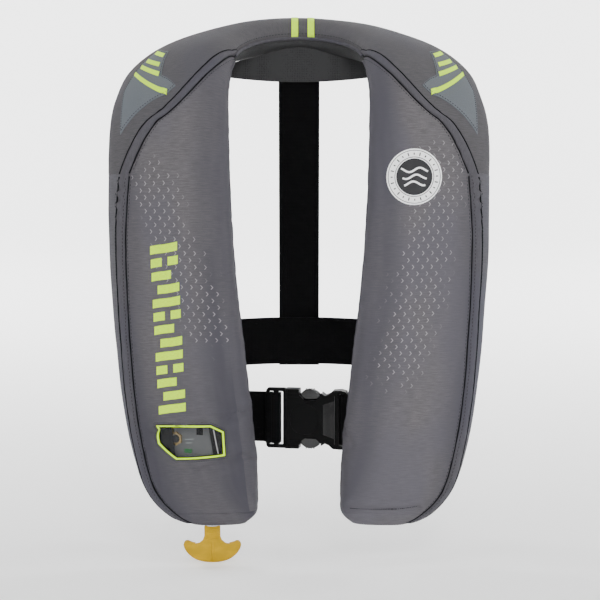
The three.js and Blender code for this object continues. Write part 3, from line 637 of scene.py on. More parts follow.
FABRIC = (0.108, 0.102, 0.108)
left_field = chevron_marks((at(9.3, -1), 80), (at(5.9, -1), 134), 44, 1)
right_field = chevron_marks((at(9.5, 1), 88), (at(5.2, 1), 110), 46, -1)
materials = {
    # The covers carry painted shade towards their sides; the left cover also towards its lower end.
    "cover_fabric": woven("cover_fabric", FABRIC, painted_shade=True),
    "cover_left": woven("cover_left", FABRIC, marks=left_field, painted_shade=True, low_shade=0.6),
    "cover_right": woven("cover_right", FABRIC, marks=right_field, painted_shade=True),
    "collar_fabric": woven("collar_fabric", (0.078, 0.075, 0.080), contrast=0.2, patches=0.08),
    "gusset_fabric": woven("gusset_fabric", (0.095, 0.093, 0.103), contrast=0.2),
    "tape_fabric": woven("tape_fabric", (0.072, 0.069, 0.078), contrast=0.14, streak=(1.5, 0.16)),
    "seam_cord": woven("seam_cord", (0.006, 0.006, 0.008), contrast=0.2, streak=(1.5, 0.3)),
    "lining_fabric": mesh_cloth("lining_fabric", (0.036, 0.036, 0.037)),
    "strip_fabric": woven("strip_fabric", (0.012, 0.012, 0.013), contrast=0.5, bump=0.9, sheen=0.4),
    "webbing": webbing_material("webbing"),
    "webbing_upright": webbing_material("webbing_upright", in_place=True, upright=True),
    "webbing_hanging": webbing_material("webbing_hanging", in_place=True),
    "bladder_fabric": woven("bladder_fabric", (0.78, 0.50, 0.02), contrast=0.06, bump=0.2, patches=0.03,
                            sheen=0.05, hue=(1, 0.95, 0.8), in_place=True),
    "yoke_cloth": mesh_cloth("yoke_cloth", (0.036, 0.036, 0.037), in_place=True),
    "reflective_fabric": woven("reflective_fabric", (0.115, 0.127, 0.140), contrast=0.06, bump=0.25,
                               patches=0.03, sheen=0.0),
    "reflective_light": printed("reflective_light", (0.5, 0.53, 0.55)),
    # The bright trim and the badge print glow a little by emission: painted light.
    "bright_trim": printed("bright_trim", (0.55, 0.88, 0.0), 0.7, 0.06),
    "badge_print": printed("badge_print", (0.93, 0.93, 0.93), glow=0.1),
    "badge_dark": printed("badge_dark", (0.012, 0.012, 0.014)),
    "thread": printed("thread", (0.016, 0.016, 0.019), 0.8),
    "buckle_plastic": moulded("buckle_plastic", (0.0018, 0.0018, 0.002), 0.34, 0.06, specular=0.07),
    "buckle_gloss": moulded("buckle_gloss", (0.002, 0.002, 0.0025), 0.2, 0.04, specular=0.55),
    "yellow_plastic": moulded("yellow_plastic", (0.44, 0.265, 0.0), 0.42, 0.3, specular=0.2),
    "grey_plastic": moulded("grey_plastic", (0.24, 0.25, 0.255), 0.5, 0.3),
    "green_plastic": moulded("green_plastic", (0.03, 0.30, 0.07), 0.3),
    "black_plastic": moulded("black_plastic", (0.012, 0.012, 0.013), 0.35, 0.25),
    "black_rubber": moulded("black_rubber", (0.012, 0.012, 0.012), 0.75, 0.4),
    "tube_rubber": moulded("tube_rubber", (0.75, 0.46, 0.02), 0.6, 0.3),
    "orange_plastic": moulded("orange_plastic", (0.68, 0.13, 0.01), 0.3, 0.2),
    "bobbin_paper": moulded("bobbin_paper", (0.7, 0.7, 0.66), 0.85, 0.6),
    "white_cord": moulded("white_cord", (0.62, 0.62, 0.58), 0.85, 0.9),
    "steel": metal("steel", (0.55, 0.56, 0.58), 0.28),
    "brass": metal("brass", (0.62, 0.45, 0.2), 0.3, False),
    "clear_window": clear_vinyl("clear_window"),
}


# ------------------------------------------------------------------ folds, seams and prints
PEEL_LOW, PEEL_HIGH, PEEL_LIFT = 3.35, 8.25, 8.5
LOBES = (("left", -1), ("right", 1))


def fold_line(side):
    """A point on a flap's peel line, and the direction from there into the flap."""
    ends = np.array([at(PEEL_LOW, side), at(PEEL_HIGH, side), at((PEEL_LOW + PEEL_HIGH) / 2, side)])
    centre, across, front, half, depth = section(ends)
    start = centre[0] - across[0] * half[0] + front[0] * (depth[0] + PEEL_LIFT)
    end = centre[1] + across[1] * half[1] + front[1] * (depth[1] + PEEL_LIFT)
    to_flap = np.cross(end - start, front[2])
    to_flap /= np.linalg.norm(to_flap)
    return start, to_flap * -np.sign(to_flap[2])


def fold(obj, side):
    """Works out the peel line of the piece's lobe flap, which is not used further, and bakes the piece's
    transform.
    """
    start, to_flap = fold_line(side)
    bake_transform(obj)


def dress(obj, material, slot=None, *nodes, fill=None, body="shell", side=None):
    """Paints a piece, puts it on its body or bakes a lobe flap's piece in place, and hides the frame parts it
    stands for.
    """
    paint(obj, materials[material])
    if side is None:
        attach(obj, body)
    else:
        fold(obj, side)
    if nodes:
        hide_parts(*nodes)
    return obj


def spread(points, count):
    """Evenly numbered points along a broken line."""
    points = np.array(points, float)
    place = np.linspace(0, len(points) - 1, count)
    return np.stack([np.interp(place, np.arange(len(points)), column) for column in points.T], axis=1)


def outline_path(places, steps):
    """t and turn along a closed outline of (t, turn) corners."""
    closed = np.array([*places, places[0]])
    return (np.concatenate([np.linspace(a, b, steps) for a, b in zip(c, c[1:])]) for c in closed.T)


def quilt(t_low, t_high, start, end, puff=0.9, wrinkle=0.3, seed=1, dent=0.9, pinched=(1, 1, 1, 1)):
    """The inset of a sewn panel's outer skin: pinched at its seams and puffed between them."""
    def outer(t, turn):
        gap = edge_distance(t, turn, start, end, pinched, t_low, t_high)
        uv = weave_uv(t, turn) * 1000
        rise = puff * (1 - np.exp(-gap / 16)) - dent * np.exp(-((gap / 2.6) ** 2))
        gathers = ripple(uv[:, 0], uv[:, 1], seed, 13) * np.exp(-gap / 11) * wrinkle
        waves = ripple(uv[:, 0], uv[:, 1], seed + 50, 70) * 0.5 * (1 - np.exp(-gap / 14))
        return -(rise + gathers + waves)
    return outer


def skin(name, t_low, t_high, start, end, columns, outer, inner=2.2, step=3.4, holes=()):
    """A closed piece of cloth between two turns, from one place along the horseshoe to another."""
    length = abs(np.interp(t_high, TABLE_T, ALONG) - np.interp(t_low, TABLE_T, ALONG))
    ts = np.linspace(t_low, t_high, max(3, int(length / step)) + 1)
    bm = grid_mesh([
        [(turn / 10, t * 30) for turn in np.linspace(first, last, columns + 1)]
        for t, first, last in zip(ts, start(ts), end(ts))
    ])
    for polygon in holes:
        punch(bm, polygon)
    bm.verts.index_update()
    return wrap(name, bm, outer, inner if callable(inner) else (lambda t, turn: np.full_like(t, inner)))


def puckered(base):
    """The same skin with short gathers where the gusset runs into the collar."""
    def outer(t, turn):
        station = station_of(t)
        near = np.exp(-(((station - 8.6) / 0.35) ** 2)) * np.exp(-(((turn - seam_turn(t) + 14) / 16) ** 2))
        return base(t, turn) - near * 1.5 * np.sin(station * 30 + turn * 0.12)
    return outer


def fixed(turn):
    """An edge that keeps to one turn."""
    return lambda t: np.full_like(t, turn)


def beside_seam(millimetres):
    """The turn at a distance from the closure seam, measured over the cover."""
    def turns(t):
        rows = np.clip(np.rint(t * 180).astype(int), 0, 180)
        found = []
        for row, turn in zip(rows, seam_turn(t)):
            here = np.interp(turn, TABLE_TURN, ACROSS[row])
            found.append(np.interp(here + millimetres, ACROSS[row], TABLE_TURN))
        return np.array(found)
    return turns


def locate(x, z, side):
    """(station / 30, turn) of the point of a lobe's front that is seen at x and z."""
    stations, turns = np.meshgrid(np.arange(0.5, 15.01, 0.25), np.arange(30, 196, 3.0), indexing="ij")
    t, v = at(stations.ravel(), side), turns.ravel()
    where = surface(t, v)[:, [0, 2]] - (x, z)
    best = np.argmin((where ** 2).sum(axis=1))
    guess = np.array([t[best], v[best]])
    for _ in range(6):
        tt = guess[0] + np.array([0, 1e-4, 0])
        vv = guess[1] + np.array([0, 0, 0.05])
        p = surface(tt, vv)[:, [0, 2]]
        slope = np.stack([(p[1] - p[0]) / 1e-4, (p[2] - p[0]) / 0.05], axis=1)
        guess = guess - np.linalg.solve(slope, p[0] - (x, z))
    return guess


def grown(polygon, distance):
    """The polygon with every side moved outwards by a distance."""
    points = np.array(polygon, float)
    centre = points.mean(axis=0)
    result = []
    for before, here, after in zip(np.roll(points, 1, axis=0), points, np.roll(points, -1, axis=0)):
        lines = []
        for a, b in ((before, here), (here, after)):
            normal = np.array([b[1] - a[1], a[0] - b[0]]) / np.linalg.norm(b - a)
            if normal @ (here - centre) < 0:
                normal = -normal
            lines.append((normal, normal @ a + distance))
        result.append(np.linalg.solve([lines[0][0], lines[1][0]], [lines[0][1], lines[1][1]]))
    return result


def flat_polygon(polygon, side):
    """(turn / 10, 30 t) corners of a polygon given by its x and z."""
    spots = [locate(x, z, side) for x, z in polygon]
    return [(v / 10, t * 30) for t, v in spots]


def print_shape(name, outline, base, lift=0.25, sink=0.3, cell=0.35):
    """A thin piece with a (turn / 10, 30 t) outline lying on a skin."""
    bm = bmesh.new()
    bm.faces.new([bm.verts.new((x, y, 0)) for x, y in outline])
    low, high = np.min(outline, axis=0), np.max(outline, axis=0)
    for axis, normal, size in ((0, (1, 0, 0), cell), (1, (0, 1, 0), cell / 3)):
        for level in np.arange(low[axis] + size, high[axis], size):
            spot = [0, 0, 0]
            spot[axis] = level
            geometry = list(bm.verts) + list(bm.edges) + list(bm.faces)
            bmesh.ops.bisect_plane(bm, geom=geometry, dist=1e-6, plane_co=spot, plane_no=normal)
    bmesh.ops.triangulate(bm, faces=[f for f in bm.faces if len(f.verts) > 4])
    bm.verts.index_update()
    return wrap(name, bm, lambda t, v: base(t, v) - lift, lambda t, v: base(t, v) + sink)


def stripe(name, first, second, base, lift=0.3, sink=0.3, columns=3, rows=40):
    """A printed or sewn stripe between two edges, each a list of (t, turn) points."""
    grid = []
    for p, q in zip(spread(first, rows + 1), spread(second, rows + 1)):
        places = (p + (q - p) * w for w in np.linspace(0, 1, columns + 1))
        grid.append([(v / 10, t * 30) for t, v in places])
    bm = grid_mesh(grid)
    return wrap(name, bm, lambda t, v: base(t, v) - lift, lambda t, v: base(t, v) + sink)


def on_skin(t, turn, base, lift=0.0):
    return surface(t, turn, base(np.asarray(t, float), np.asarray(turn, float)) - lift)


STITCH_RINGS = ((-0.5, 0.45), (-0.28, 1.0), (0.28, 1.0), (0.5, 0.45))
STITCH_SIDES = 6


def stitches(name, t, turn, base, spacing=3.6, length=2.5, radius=0.34, lift=0.12, side=None):
    """A line of separate thread stitches along a path on a skin, each sagging towards its ends."""
    points = on_skin(t, turn, base, lift)
    run = run_length(points)
    marks = np.arange(spacing / 2, run[-1], spacing)
    spots, ahead, behind = (
        np.stack([np.interp(marks + shift, run, column) for column in points.T], axis=1)
        for shift in (0, 1, -1)
    )
    along = unit(ahead - behind)
    t_at, v_at = np.interp(marks, run, t), np.interp(marks, run, turn)
    normal = unit(surface(t_at, v_at, -1) - surface(t_at, v_at, 1))
    vertices, faces = [], []
    for p, a, n, s in zip(spots, along, normal, unit(np.cross(along, normal))):
        first, rings = len(vertices), len(STITCH_RINGS)
        for reach, size in STITCH_RINGS:
            sag = radius * (1.3 * abs(reach) * 2) ** 2 * 0.5
            for k in range(STITCH_SIDES):
                angle = k * math.pi / 3
                offset = s * math.cos(angle) * radius * size + n * (math.sin(angle) * radius * size - sag)
                vertices.append(p + a * reach * length + offset)
        faces += ring_faces(rings, STITCH_SIDES, first) + end_faces(rings, STITCH_SIDES, first)
    obj = new_object(name, vertices, faces, uv=np.array(vertices)[:, [0, 2]] / 1000)
    return dress(obj, "thread", side=side)


def tube(name, points, radius, sides=10):
    """A closed round tube along a list of points in millimetres."""
    points = np.asarray(points, float)
    normal = np.array((0.31, 0.52, 0.8))
    angles = np.arange(sides) * 2 * math.pi / sides
    rings, uv = [], []
    for p, a, run in zip(points, unit(np.gradient(points, axis=0)), run_length(points)):
        if not rings:
            normal = np.cross(a, normal)
        normal = normal - a * (normal @ a)
        normal /= np.linalg.norm(normal)
        other = np.cross(a, normal)
        ring = np.outer(np.cos(angles), normal) + np.outer(np.sin(angles), other)
        rings.append(p + ring * radius)
        uv.extend([(radius * angle, run) for angle in angles])
    faces = ring_faces(len(points), sides) + end_faces(len(points), sides)
    return face_out(new_object(name, np.concatenate(rings), faces, uv=np.array(uv) / 1000))


def plain(t, turn):
    return np.zeros_like(np.asarray(t, float))


# ------------------------------------------------------------------ covers, gussets and collar
WINDOW = [(-139, -323), (-87, -319), (-75, -324.5), (-74, -347), (-120, -354), (-138, -340)]
OUTER_TURN = -40
BACK_START, BACK_END = 197, 319.4
CREASES = {
    "left": (
        ((4.70, 182), (4.62, 150), (4.50, 100), (4.35, 70)), ((3.75, 182), (3.80, 150), (3.62, 120), (3.4, 96)),
    ),
    "right": (((1.75, 70), (1.55, 90), (1.50, 120), (1.5, 150)), ((4.30, 186), (4.15, 168), (4.1, 160))),
}
skins = {}


def seam_plus(t):
    return seam_turn(t) + 0.1


def seam_less(t):
    return seam_turn(t) - 0.1


def edge_start(t):
    return np.maximum(FLAP_TURN, seam_plus(t))


def collar_end(t):
    return np.minimum(seam_turn(t) - 0.1, 184)


def lining_start(t):
    return np.where(station_of(t) > 12, 184.6, 190)


def creased(base, side, lines):
    """The same skin with soft sewn-in creases along lines of (station, turn) points."""
    spots = [spread(line, 40) for line in lines]
    paths = [surface(at(line[:, 0], side), line[:, 1]) for line in spots]

    def outer(t, turn):
        here = surface(t, turn)
        inset = base(t, turn)
        for path in paths:
            gap = np.sqrt(((here[:, None, :] - path[None]) ** 2).sum(axis=2)).min(axis=1)
            inset = inset + 1.7 * np.exp(-((gap / 2.2) ** 2)) - 0.8 * np.exp(-(((gap - 7) / 4) ** 2))
        return inset
    return outer


def lobe_panels(word, side):
    """A lobe's front, as a flap piece and an inner edge piece, its gusset and its back."""
    low, high = at(START, side), at(12, side)
    free_end = (1, 1, 0, 1)
    front_skin = quilt(low, high, seam_plus, fixed(PIPING), seed=3 + side, puff=1.0, pinched=free_end)
    front_skin = skins[word] = creased(front_skin, side, CREASES[word])
    holes = [flat_polygon(WINDOW, -1)] if side < 0 else []
    cover = skin(f"cover_{word}", low, high, seam_plus, fixed(FLAP_TURN), 46, front_skin,
                 step=2.5, holes=holes)
    dress(cover, f"cover_{word}", "cover_fabric", f"front_cover_{word}", f"cover_flap_{word}",
          fill=0.4, side=side)
    edge = skin(f"inner_edge_{word}", low, high, edge_start, fixed(PIPING), 18, front_skin, step=2.5)
    dress(edge, "cover_fabric", "cover_fabric", f"front_cover_{word}", fill=0.4)

    gusset_skin = quilt(low, at(9.4, side), fixed(OUTER_TURN), seam_less, seed=11 + side, wrinkle=0.45,
                        pinched=free_end)
    gusset_skin = skins[f"gusset_{word}"] = puckered(gusset_skin)
    gusset = skin(f"gusset_{word}", low, at(9.02, side), fixed(OUTER_TURN), seam_less, 26, gusset_skin)
    dress(gusset, "gusset_fabric", "gusset_fabric", f"side_gusset_{word}", fill=0.4)

    high = at(11.05, side)
    turns = fixed(BACK_START), fixed(BACK_END)
    back_skin = skins[f"back_{word}"] = quilt(low, high, *turns, seed=21 + side, puff=0.8, pinched=free_end)
    back = skin(f"back_panel_{word}", low, high, *turns, 34, back_skin)
    dress(back, "lining_fabric", "lining_fabric", f"back_panel_{word}", fill=0.4)


for word, side in LOBES:
    lobe_panels(word, side)

low, high = at(8.93, -1), at(8.93, 1)
collar_skin = quilt(low, high, fixed(OUTER_TURN), collar_end, seed=31, puff=0.9, wrinkle=0.5)
collar = skin("collar", low, high, fixed(OUTER_TURN), collar_end, 58, collar_skin)
dress(collar, "collar_fabric", "collar_fabric", "collar_cover", fill=0.5)

low, high = at(11.1, -1), at(11.1, 1)
lining_skin = quilt(low, high, lining_start, fixed(BACK_END), seed=37, puff=0.8)
lining = skin("neck_lining", low, high, lining_start, fixed(BACK_END), 40, lining_skin)
dress(lining, "lining_fabric", "lining_fabric", "collar_lining", fill=0.5)

# A lining piece under the corner where each lobe's inner edge meets the neck lining.
for word, side in LOBES:
    corner = skin(f"neck_corner_{word}", at(11.4, side), at(12.8, side), fixed(170), fixed(206), 10,
                  lambda t, turn: np.full_like(t, 2.6), 5.0)
    dress(corner, "lining_fabric", "lining_fabric")

# ------------------------------------------------------------------ rounded ends of the lobes
CUP_STATIONS = (START, 1.1, 0.95, 0.8, 0.65, 0.5, 0.36, 0.24, 0.14, 0.06, 0.0)
CUP_SHRINK = (0.97, 0.9, 0.75, 0.5, 0.2)
CUP_DROP = 1.6
FRONT_END, BACK_LIMIT = 196.5, 319.7


def cup_inset(word, t, turn):
    """The end of a lobe carries on the skins above it and draws in to its lowest edge."""
    outer_side = skins[f"gusset_{word}"](t, np.where(turn > BACK_LIMIT, turn - 360, turn))
    inset = np.where(turn < FRONT_END, skins[word](t, turn), skins[f"back_{word}"](t, turn))
    inset = np.where((turn < seam_turn(t)) | (turn > BACK_LIMIT), outer_side, inset)
    return inset * np.clip(station_of(t) / 0.7, 0, 1)


def bottom_cup(word, side):
    """The rounded end of a lobe: rings down to its edge, rings closing it, and one inside the top."""
    turns = np.unique(np.concatenate([np.linspace(0, 360, 121)[:-1], [FRONT_END, BACK_LIMIT]]))
    count = len(turns)
    rings, uvs = [], []
    for station in CUP_STATIONS:
        t = np.full(count, at(station, side))
        rings.append(surface(t, turns, cup_inset(word, t, turns)))
        uvs.append(weave_uv(t, np.where(turns > 340, turns - 360, turns)))
    end, end_uv, middle = rings[-1], uvs[-1], rings[-1].mean(axis=0)
    for shrink in CUP_SHRINK:
        rings.append(middle + (end - middle) * shrink + np.array([0, 0, -CUP_DROP * (1 - shrink)]))
        uvs.append(end_uv + (0, -0.02 * (1 - shrink)))
    rings.append(surface(at(START, side), turns, 2.2))
    uvs.append(uvs[0])
    vertices = np.concatenate(rings + [[middle + (0, 0, -CUP_DROP)]])
    inner, last = (len(rings) - 1) * count, (len(rings) - 2) * count
    faces = ring_faces(len(rings) - 1, count)
    for k in range(count):
        after = (k + 1) % count
        faces.append((inner + k, inner + after, after, k))
        faces.append((last + k, last + after, len(vertices) - 1))
    uv = np.concatenate(uvs + [end_uv[:1]])
    cup = face_out(new_object(f"bottom_cup_{word}_cloth", vertices, faces, uv=uv))
    dress(cup, f"cover_{word}", "gusset_fabric", f"bottom_cup_{word}", fill=0.4)
    cup.data.materials.append(materials["gusset_fabric"])
    for face in cup.data.polygons:
        turn = turns[min(v % count for v in face.vertices)]
        face.material_index = 0 if SEAM[1] <= turn < FRONT_END else 1


for word, side in LOBES:
    bottom_cup(word, side)

# ------------------------------------------------------------------ bindings, piping and stitching
LOW, JOIN, NECK = 0.3, 9.0, 12.3
BINDING, CORD_GAP = -11, -11.6


def smoothed(points, reach=7):
    """A line with its small wrinkles averaged out."""
    padded = np.concatenate([np.repeat(points[:1], reach, 0), points, np.repeat(points[-1:], reach, 0)])
    window = np.ones(2 * reach + 1) / (2 * reach + 1)
    return np.stack([np.convolve(column, window, "valid") for column in padded.T], axis=1)


def upper_edge(millimetres):
    """The binding's far edge, which runs into the seam at the neck."""
    def turns(t):
        closing = np.clip(station_of(t) - 11.3, 0, 1)
        near, far = beside_seam(-0.8)(t), beside_seam(millimetres)(t)
        return far + (near - far) * closing ** 2 * 0.96
    return turns


def binding(name, low, high, start, base, height):
    """A rounded tape that covers a seam."""
    end = beside_seam(-0.8)

    def outer(t, turn):
        s = (turn - start(t)) / (end(t) - start(t))
        return base(t, turn) - height * np.sqrt(np.clip(1 - (2 * s - 1) ** 2, 0.02, 1))

    tape = skin(name, low, high, start, end, 10, outer, inner=lambda t, v: base(t, v) + 0.5, step=2.6)
    dress(tape, "tape_fabric", "gusset_fabric")


def seam_cord(name, points):
    dress(tube(name, points, 0.8, 8), "seam_cord")


def piping(name, t, turn, base, lift, radius, slot):
    points = on_skin(t, np.full_like(t, turn), base, lift)
    dress(tube(name, points, radius), "tape_fabric", slot)


def lobe_trim(word, side):
    gusset_skin = skins[f"gusset_{word}"]
    low, join, neck = (at(station, side) for station in (LOW, JOIN, NECK))
    binding(f"binding_{word}", low, join, beside_seam(BINDING), gusset_skin, 1.5)
    ts = np.linspace(low, join, 320)
    for number, (gap, lift) in enumerate(((0.0, 0.3), (CORD_GAP, 0.35))):
        points = on_skin(ts, beside_seam(gap)(ts), gusset_skin, lift)
        seam_cord(f"seam_cord_{word}_{number}", smoothed(points))
    ts = np.linspace(at(LOW + 0.05, side), at(8.95, side), 280)
    stitches(f"binding_stitches_{word}", ts, beside_seam(-2.6)(ts), lambda t, v: gusset_skin(t, v) - 1.0)
    stitches(f"gusset_stitches_{word}", ts, beside_seam(-13)(ts), gusset_skin)
    ts = np.linspace(at(START + 0.05, side), at(8.95, side), 260)
    stitches(f"cover_stitches_{word}", ts, beside_seam(3.2)(ts), skins[word], side=side)

    binding(f"collar_binding_{word}", join, neck, upper_edge(BINDING), collar_skin, 1.4)
    ts = np.linspace(join, neck, 200)
    for number, edge in enumerate((beside_seam(0.0), upper_edge(CORD_GAP))):
        seam_cord(f"collar_cord_{word}_{number}", on_skin(ts, edge(ts), collar_skin, 0.3))
    ts = np.linspace(at(9.05, side), at(11.95, side), 160)
    stitches(f"neck_stitches_{word}", ts, beside_seam(4)(ts), skins[word])
    ts = np.linspace(low, at(12, side), 210)
    piping(f"inner_piping_{word}", ts, PIPING, skins[word], 0.6, 1.5, "cover_fabric")
    ts = np.linspace(low, at(11, side), 210)
    piping(f"outer_piping_{word}", ts, OUTER_TURN, gusset_skin, 0.5, 1.4, "gusset_fabric")


for word, side in LOBES:
    lobe_trim(word, side)
ts = np.linspace(at(12.1, -1), at(12.1, 1), 200)
piping("neck_piping", ts, 184.0, collar_skin, 0.7, 1.7, "collar_fabric")
stitches("neck_edge_stitches", ts, np.full_like(ts, 176.0), collar_skin)

# ------------------------------------------------------------------ shoulder patches and collar stripes
PATCH = [(12.3, 68), (12.0, 86), (11.1, 88), (10.7, 98), (10.5, 92), (9.7, 52), (10.9, 46)]
PATCH_MIDDLE = (11.2, 70)
SLANTS = [
    ((12.15, 70), (11.85, 84)), ((11.85, 66), (11.5, 84)),
    ((11.65, 62), (11.15, 86)), ((11.45, 56), (10.55, 92)),
]
COLLAR_STRIPES = ((-8, -1), (9, 16))


def bright_bar(name, first, second, base, lift, side=None, **counts):
    dress(stripe(name, first, second, base, lift, **counts), "bright_trim", "bright_trim", side=side)


def shoulder_patch(word, side):
    """A light patch with slanting bars, sewn down inside its edge."""
    places = [(at(station, side), turn) for station, turn in PATCH]
    patch = print_shape(f"shoulder_patch_{word}", [(v / 10, t * 30) for t, v in places], collar_skin, 0.55)
    dress(patch, "reflective_fabric", "reflective_fabric", f"reflective_patch_{word}")
    path_t, path_v = outline_path(places, 30)
    path_t = path_t + (at(PATCH_MIDDLE[0], side) - path_t) * 0.05
    path_v = path_v + (PATCH_MIDDLE[1] - path_v) * 0.05
    stitches(f"patch_stitches_{word}", path_t, path_v, lambda t, v: collar_skin(t, v) - 0.55, 3.0, 2.0)
    for number, slant in enumerate(SLANTS):
        edges = [[(at(k + offset, side), v) for k, v in slant] for offset in (-0.075, 0.075)]
        bright_bar(f"shoulder_bar_{word}_{number}", *edges, collar_skin, 0.8)


def collar_place(x, turn):
    """The place along the horseshoe where the collar passes a given x, at one turn."""
    t = np.linspace(0.4, 0.6, 201)
    return float(np.interp(x, surface(t, turn)[:, 0], t))


for word, side in LOBES:
    shoulder_patch(word, side)
for number, sides in enumerate(COLLAR_STRIPES):
    edges = [[(collar_place(x, v), v) for v in np.linspace(96, 181, 12)] for x in sides]
    bright_bar(f"collar_stripe_{number}", *edges, collar_skin, 0.5)

# ------------------------------------------------------------------ window in the left lobe
# Pieces just under the clear sheet: name, material, depth and (x, z) corners. The dark pieces darken the
# window's two ends and a small square; the pale slanted line is a painted glint on the sheet.
WINDOW_PRINTS = (
    ("dark_left", "seam_cord", 1.1, [(-138.5, -322.5), (-127, -322.5), (-123, -352), (-137.5, -340.5)]),
    ("dark_right", "seam_cord", 1.1, [(-89, -319.5), (-75.5, -325), (-74.5, -346.5), (-84, -348)]),
    ("dark_square", "seam_cord", 1.1, [(-101, -320.5), (-94.5, -320.5), (-94.5, -329), (-101, -329)]),
    # Painted glint: a thin pale slanted line that stands in for a reflection on the sheet.
    ("pale_line", "badge_print", 1.0, [(-84.5, -321.5), (-83.4, -321.5), (-78.6, -346.5), (-79.7, -346.6)]),
    ("pale_dash", "reflective_light", 1.0, [(-113, -334), (-104, -333), (-104, -334.2), (-113, -335.2)]),
    ("pale_dash_low", "reflective_light", 1.0,
     [(-112, -337.5), (-106, -336.9), (-106, -338), (-112, -338.6)]),
)
BAND_STITCHES = (((4.72, 180), (4.66, 144)), ((3.75, 180), (3.79, 152)))
FINE = {"spacing": 2.6, "length": 1.8, "radius": 0.24}
left_skin = skins["left"]


def window_outline(distance):
    """The (t, turn) corners of the window, grown by a distance."""
    return [(y / 30, x * 10) for x, y in flat_polygon(grown(WINDOW, distance), -1)]


def window_ring(name, outer_grow, inner_grow, lift):
    outer_path, inner_path = (window_outline(distance) for distance in (outer_grow, inner_grow))
    return stripe(name, outer_path + outer_path[:1], inner_path + inner_path[:1], left_skin, lift, 0.2,
                  columns=2, rows=144)


dress(window_ring("window_border", 1.1, -0.8, 0.85), "bright_trim", "bright_trim", "window_frame", side=-1)
dress(window_ring("window_rim", 1.9, -1.5, 0.35), "seam_cord", side=-1)
for word, material, depth, corners in WINDOW_PRINTS:
    film = print_shape(f"window_{word}", flat_polygon(corners, -1), plain, -depth, 1.3, cell=0.8)
    dress(film, material, side=-1)
lens = print_shape("window_sheet", flat_polygon(grown(WINDOW, 0.8), -1), plain, -0.1, 0.9, cell=0.6)
dress(lens, "clear_window", "clear_window", "window_lens", side=-1)
stitches("window_stitches", *outline_path(window_outline(3.6), 24), left_skin, **FINE, side=-1)

# Quilting lines beside the window, and the cord in the crease across the right lobe.
for number, ((k0, v0), (k1, v1)) in enumerate(BAND_STITCHES):
    ts, vs = np.linspace(at(k0, -1), at(k1, -1), 60), np.linspace(v0, v1, 60)
    for half, side in ((vs < FLAP_TURN - 1, -1), (vs >= FLAP_TURN + 1, None)):
        if half.sum() > 4:
            stitches(f"window_band_stitches_{number}_{side}", ts[half], vs[half], left_skin, **FINE,
                     lift=-0.3, side=side)
hem_line = spread(CREASES["right"][0], 120)
hem = tube("hem_cord", on_skin(at(hem_line[:, 0], 1), hem_line[:, 1], skins["right"], -0.35), 0.5, 8)
dress(hem, "seam_cord", side=1)

# ------------------------------------------------------------------ badge with a wave emblem, right lobe
BADGE_TICKS = 24
badge_point = surface(at(8.9, 1), 108)[0]
right_skin = skins["right"]


def badge_spots(offsets):
    """(t, turn) of points given by their x and z from the badge's middle."""
    return np.array([locate(badge_point[0] + x, badge_point[2] + z, 1) for x, z in offsets])


def circle(radius, count=40):
    angles = (2 * math.pi * k / count for k in range(count))
    return [(radius * math.cos(angle), radius * math.sin(angle)) for angle in angles]


def badge_plate(name, radius, lift):
    outline = [(v / 10, t * 30) for t, v in badge_spots(circle(radius))]
    return print_shape(name, outline, right_skin, lift, 0.2, cell=0.5)


def badge_line(name, offsets, lift, radius, sides, material):
    spots = badge_spots(offsets)
    dress(tube(name, on_skin(spots[:, 0], spots[:, 1], right_skin, lift), radius, sides), material)


dress(badge_plate("badge_ring", 27, 0.75), "badge_print", "badge_print", "badge")
dress(badge_plate("badge_disc", 17.6, 0.95), "badge_dark")
for number, radius in enumerate((25.3, 18.9)):
    ring = circle(radius, 64)
    badge_line(f"badge_rim_{number}", ring + ring[:1], 0.8, 0.35, 6, "badge_dark")
for number in range(3):
    reach, height = 13 - number * 1.5, 6.5 - number * 6.5
    wave = [(x, height + 2.0 * math.sin(x / 3.2 + number)) for x in np.linspace(-reach, reach, 40)]
    badge_line(f"badge_wave_{number}", wave, 1.0, 1.0, 8, "badge_print")
for number in range(BADGE_TICKS):
    angle, size = 2 * math.pi * number / BADGE_TICKS, 1.5 if number % 2 else 0.9
    tick = [(r * math.cos(angle), r * math.sin(angle)) for r in (22 - size, 22 + size)]
    badge_line(f"badge_tick_{number}", tick, 0.8, 0.6, 6, "badge_dark")

# ------------------------------------------------------------------ slanted bars down the left lobe
BAR_TOP, BAR_END = np.array([-132.5, -146]), np.array([-124.5, -304])
BAR_COUNT, BAR_HALF, BAR_SLOPE = 13, 4.2, 0.22
SPLITS = (((-13.5, 13.5),), ((-13.5, -2.5), (3.5, 13.5)), ((-13.5, 6.0),), ((-8.0, 13.5),))
for number in range(BAR_COUNT):
    x, z = BAR_TOP + (BAR_END - BAR_TOP) * number / (BAR_COUNT - 1)
    for part, ends in enumerate(SPLITS[number % len(SPLITS)]):
        edges = [
            [tuple(locate(x + end, z + end * BAR_SLOPE + rise, -1)) for end in ends]
            for rise in (-BAR_HALF, BAR_HALF)
        ]
        bright_bar(f"lobe_bar_{number}_{part}", *edges, left_skin, 0.22, side=-1, rows=16, columns=5)


# ------------------------------------------------------------------ hook and loop strips
def strip_start(t):
    return seam_turn(t) - 20


def strip_end(t):
    return seam_turn(t) + 18


def fuzz(depth, seed):
    return lambda t, v: depth - 0.2 * ripple(t * 900, v * 1.1, seed, 5)


for word, side in LOBES:
    ends = at(2.2, side), at(7.4, side)
    hook = skin(f"hooks_{word}", *ends, strip_start, strip_end, 16, fuzz(5, 61), 6.0)
    dress(hook, "strip_fabric", "strip_fabric", f"hook_strip_{word}")
    loop = skin(f"loops_{word}", *ends, seam_plus, strip_end, 12, fuzz(3.1, 63), 4.0)
    dress(loop, "strip_fabric", "strip_fabric", f"loop_strip_{word}", side=side)

# ------------------------------------------------------------------ belts
WEBBING_WIDTH = 50.8
RIBBON_SIDES = 28


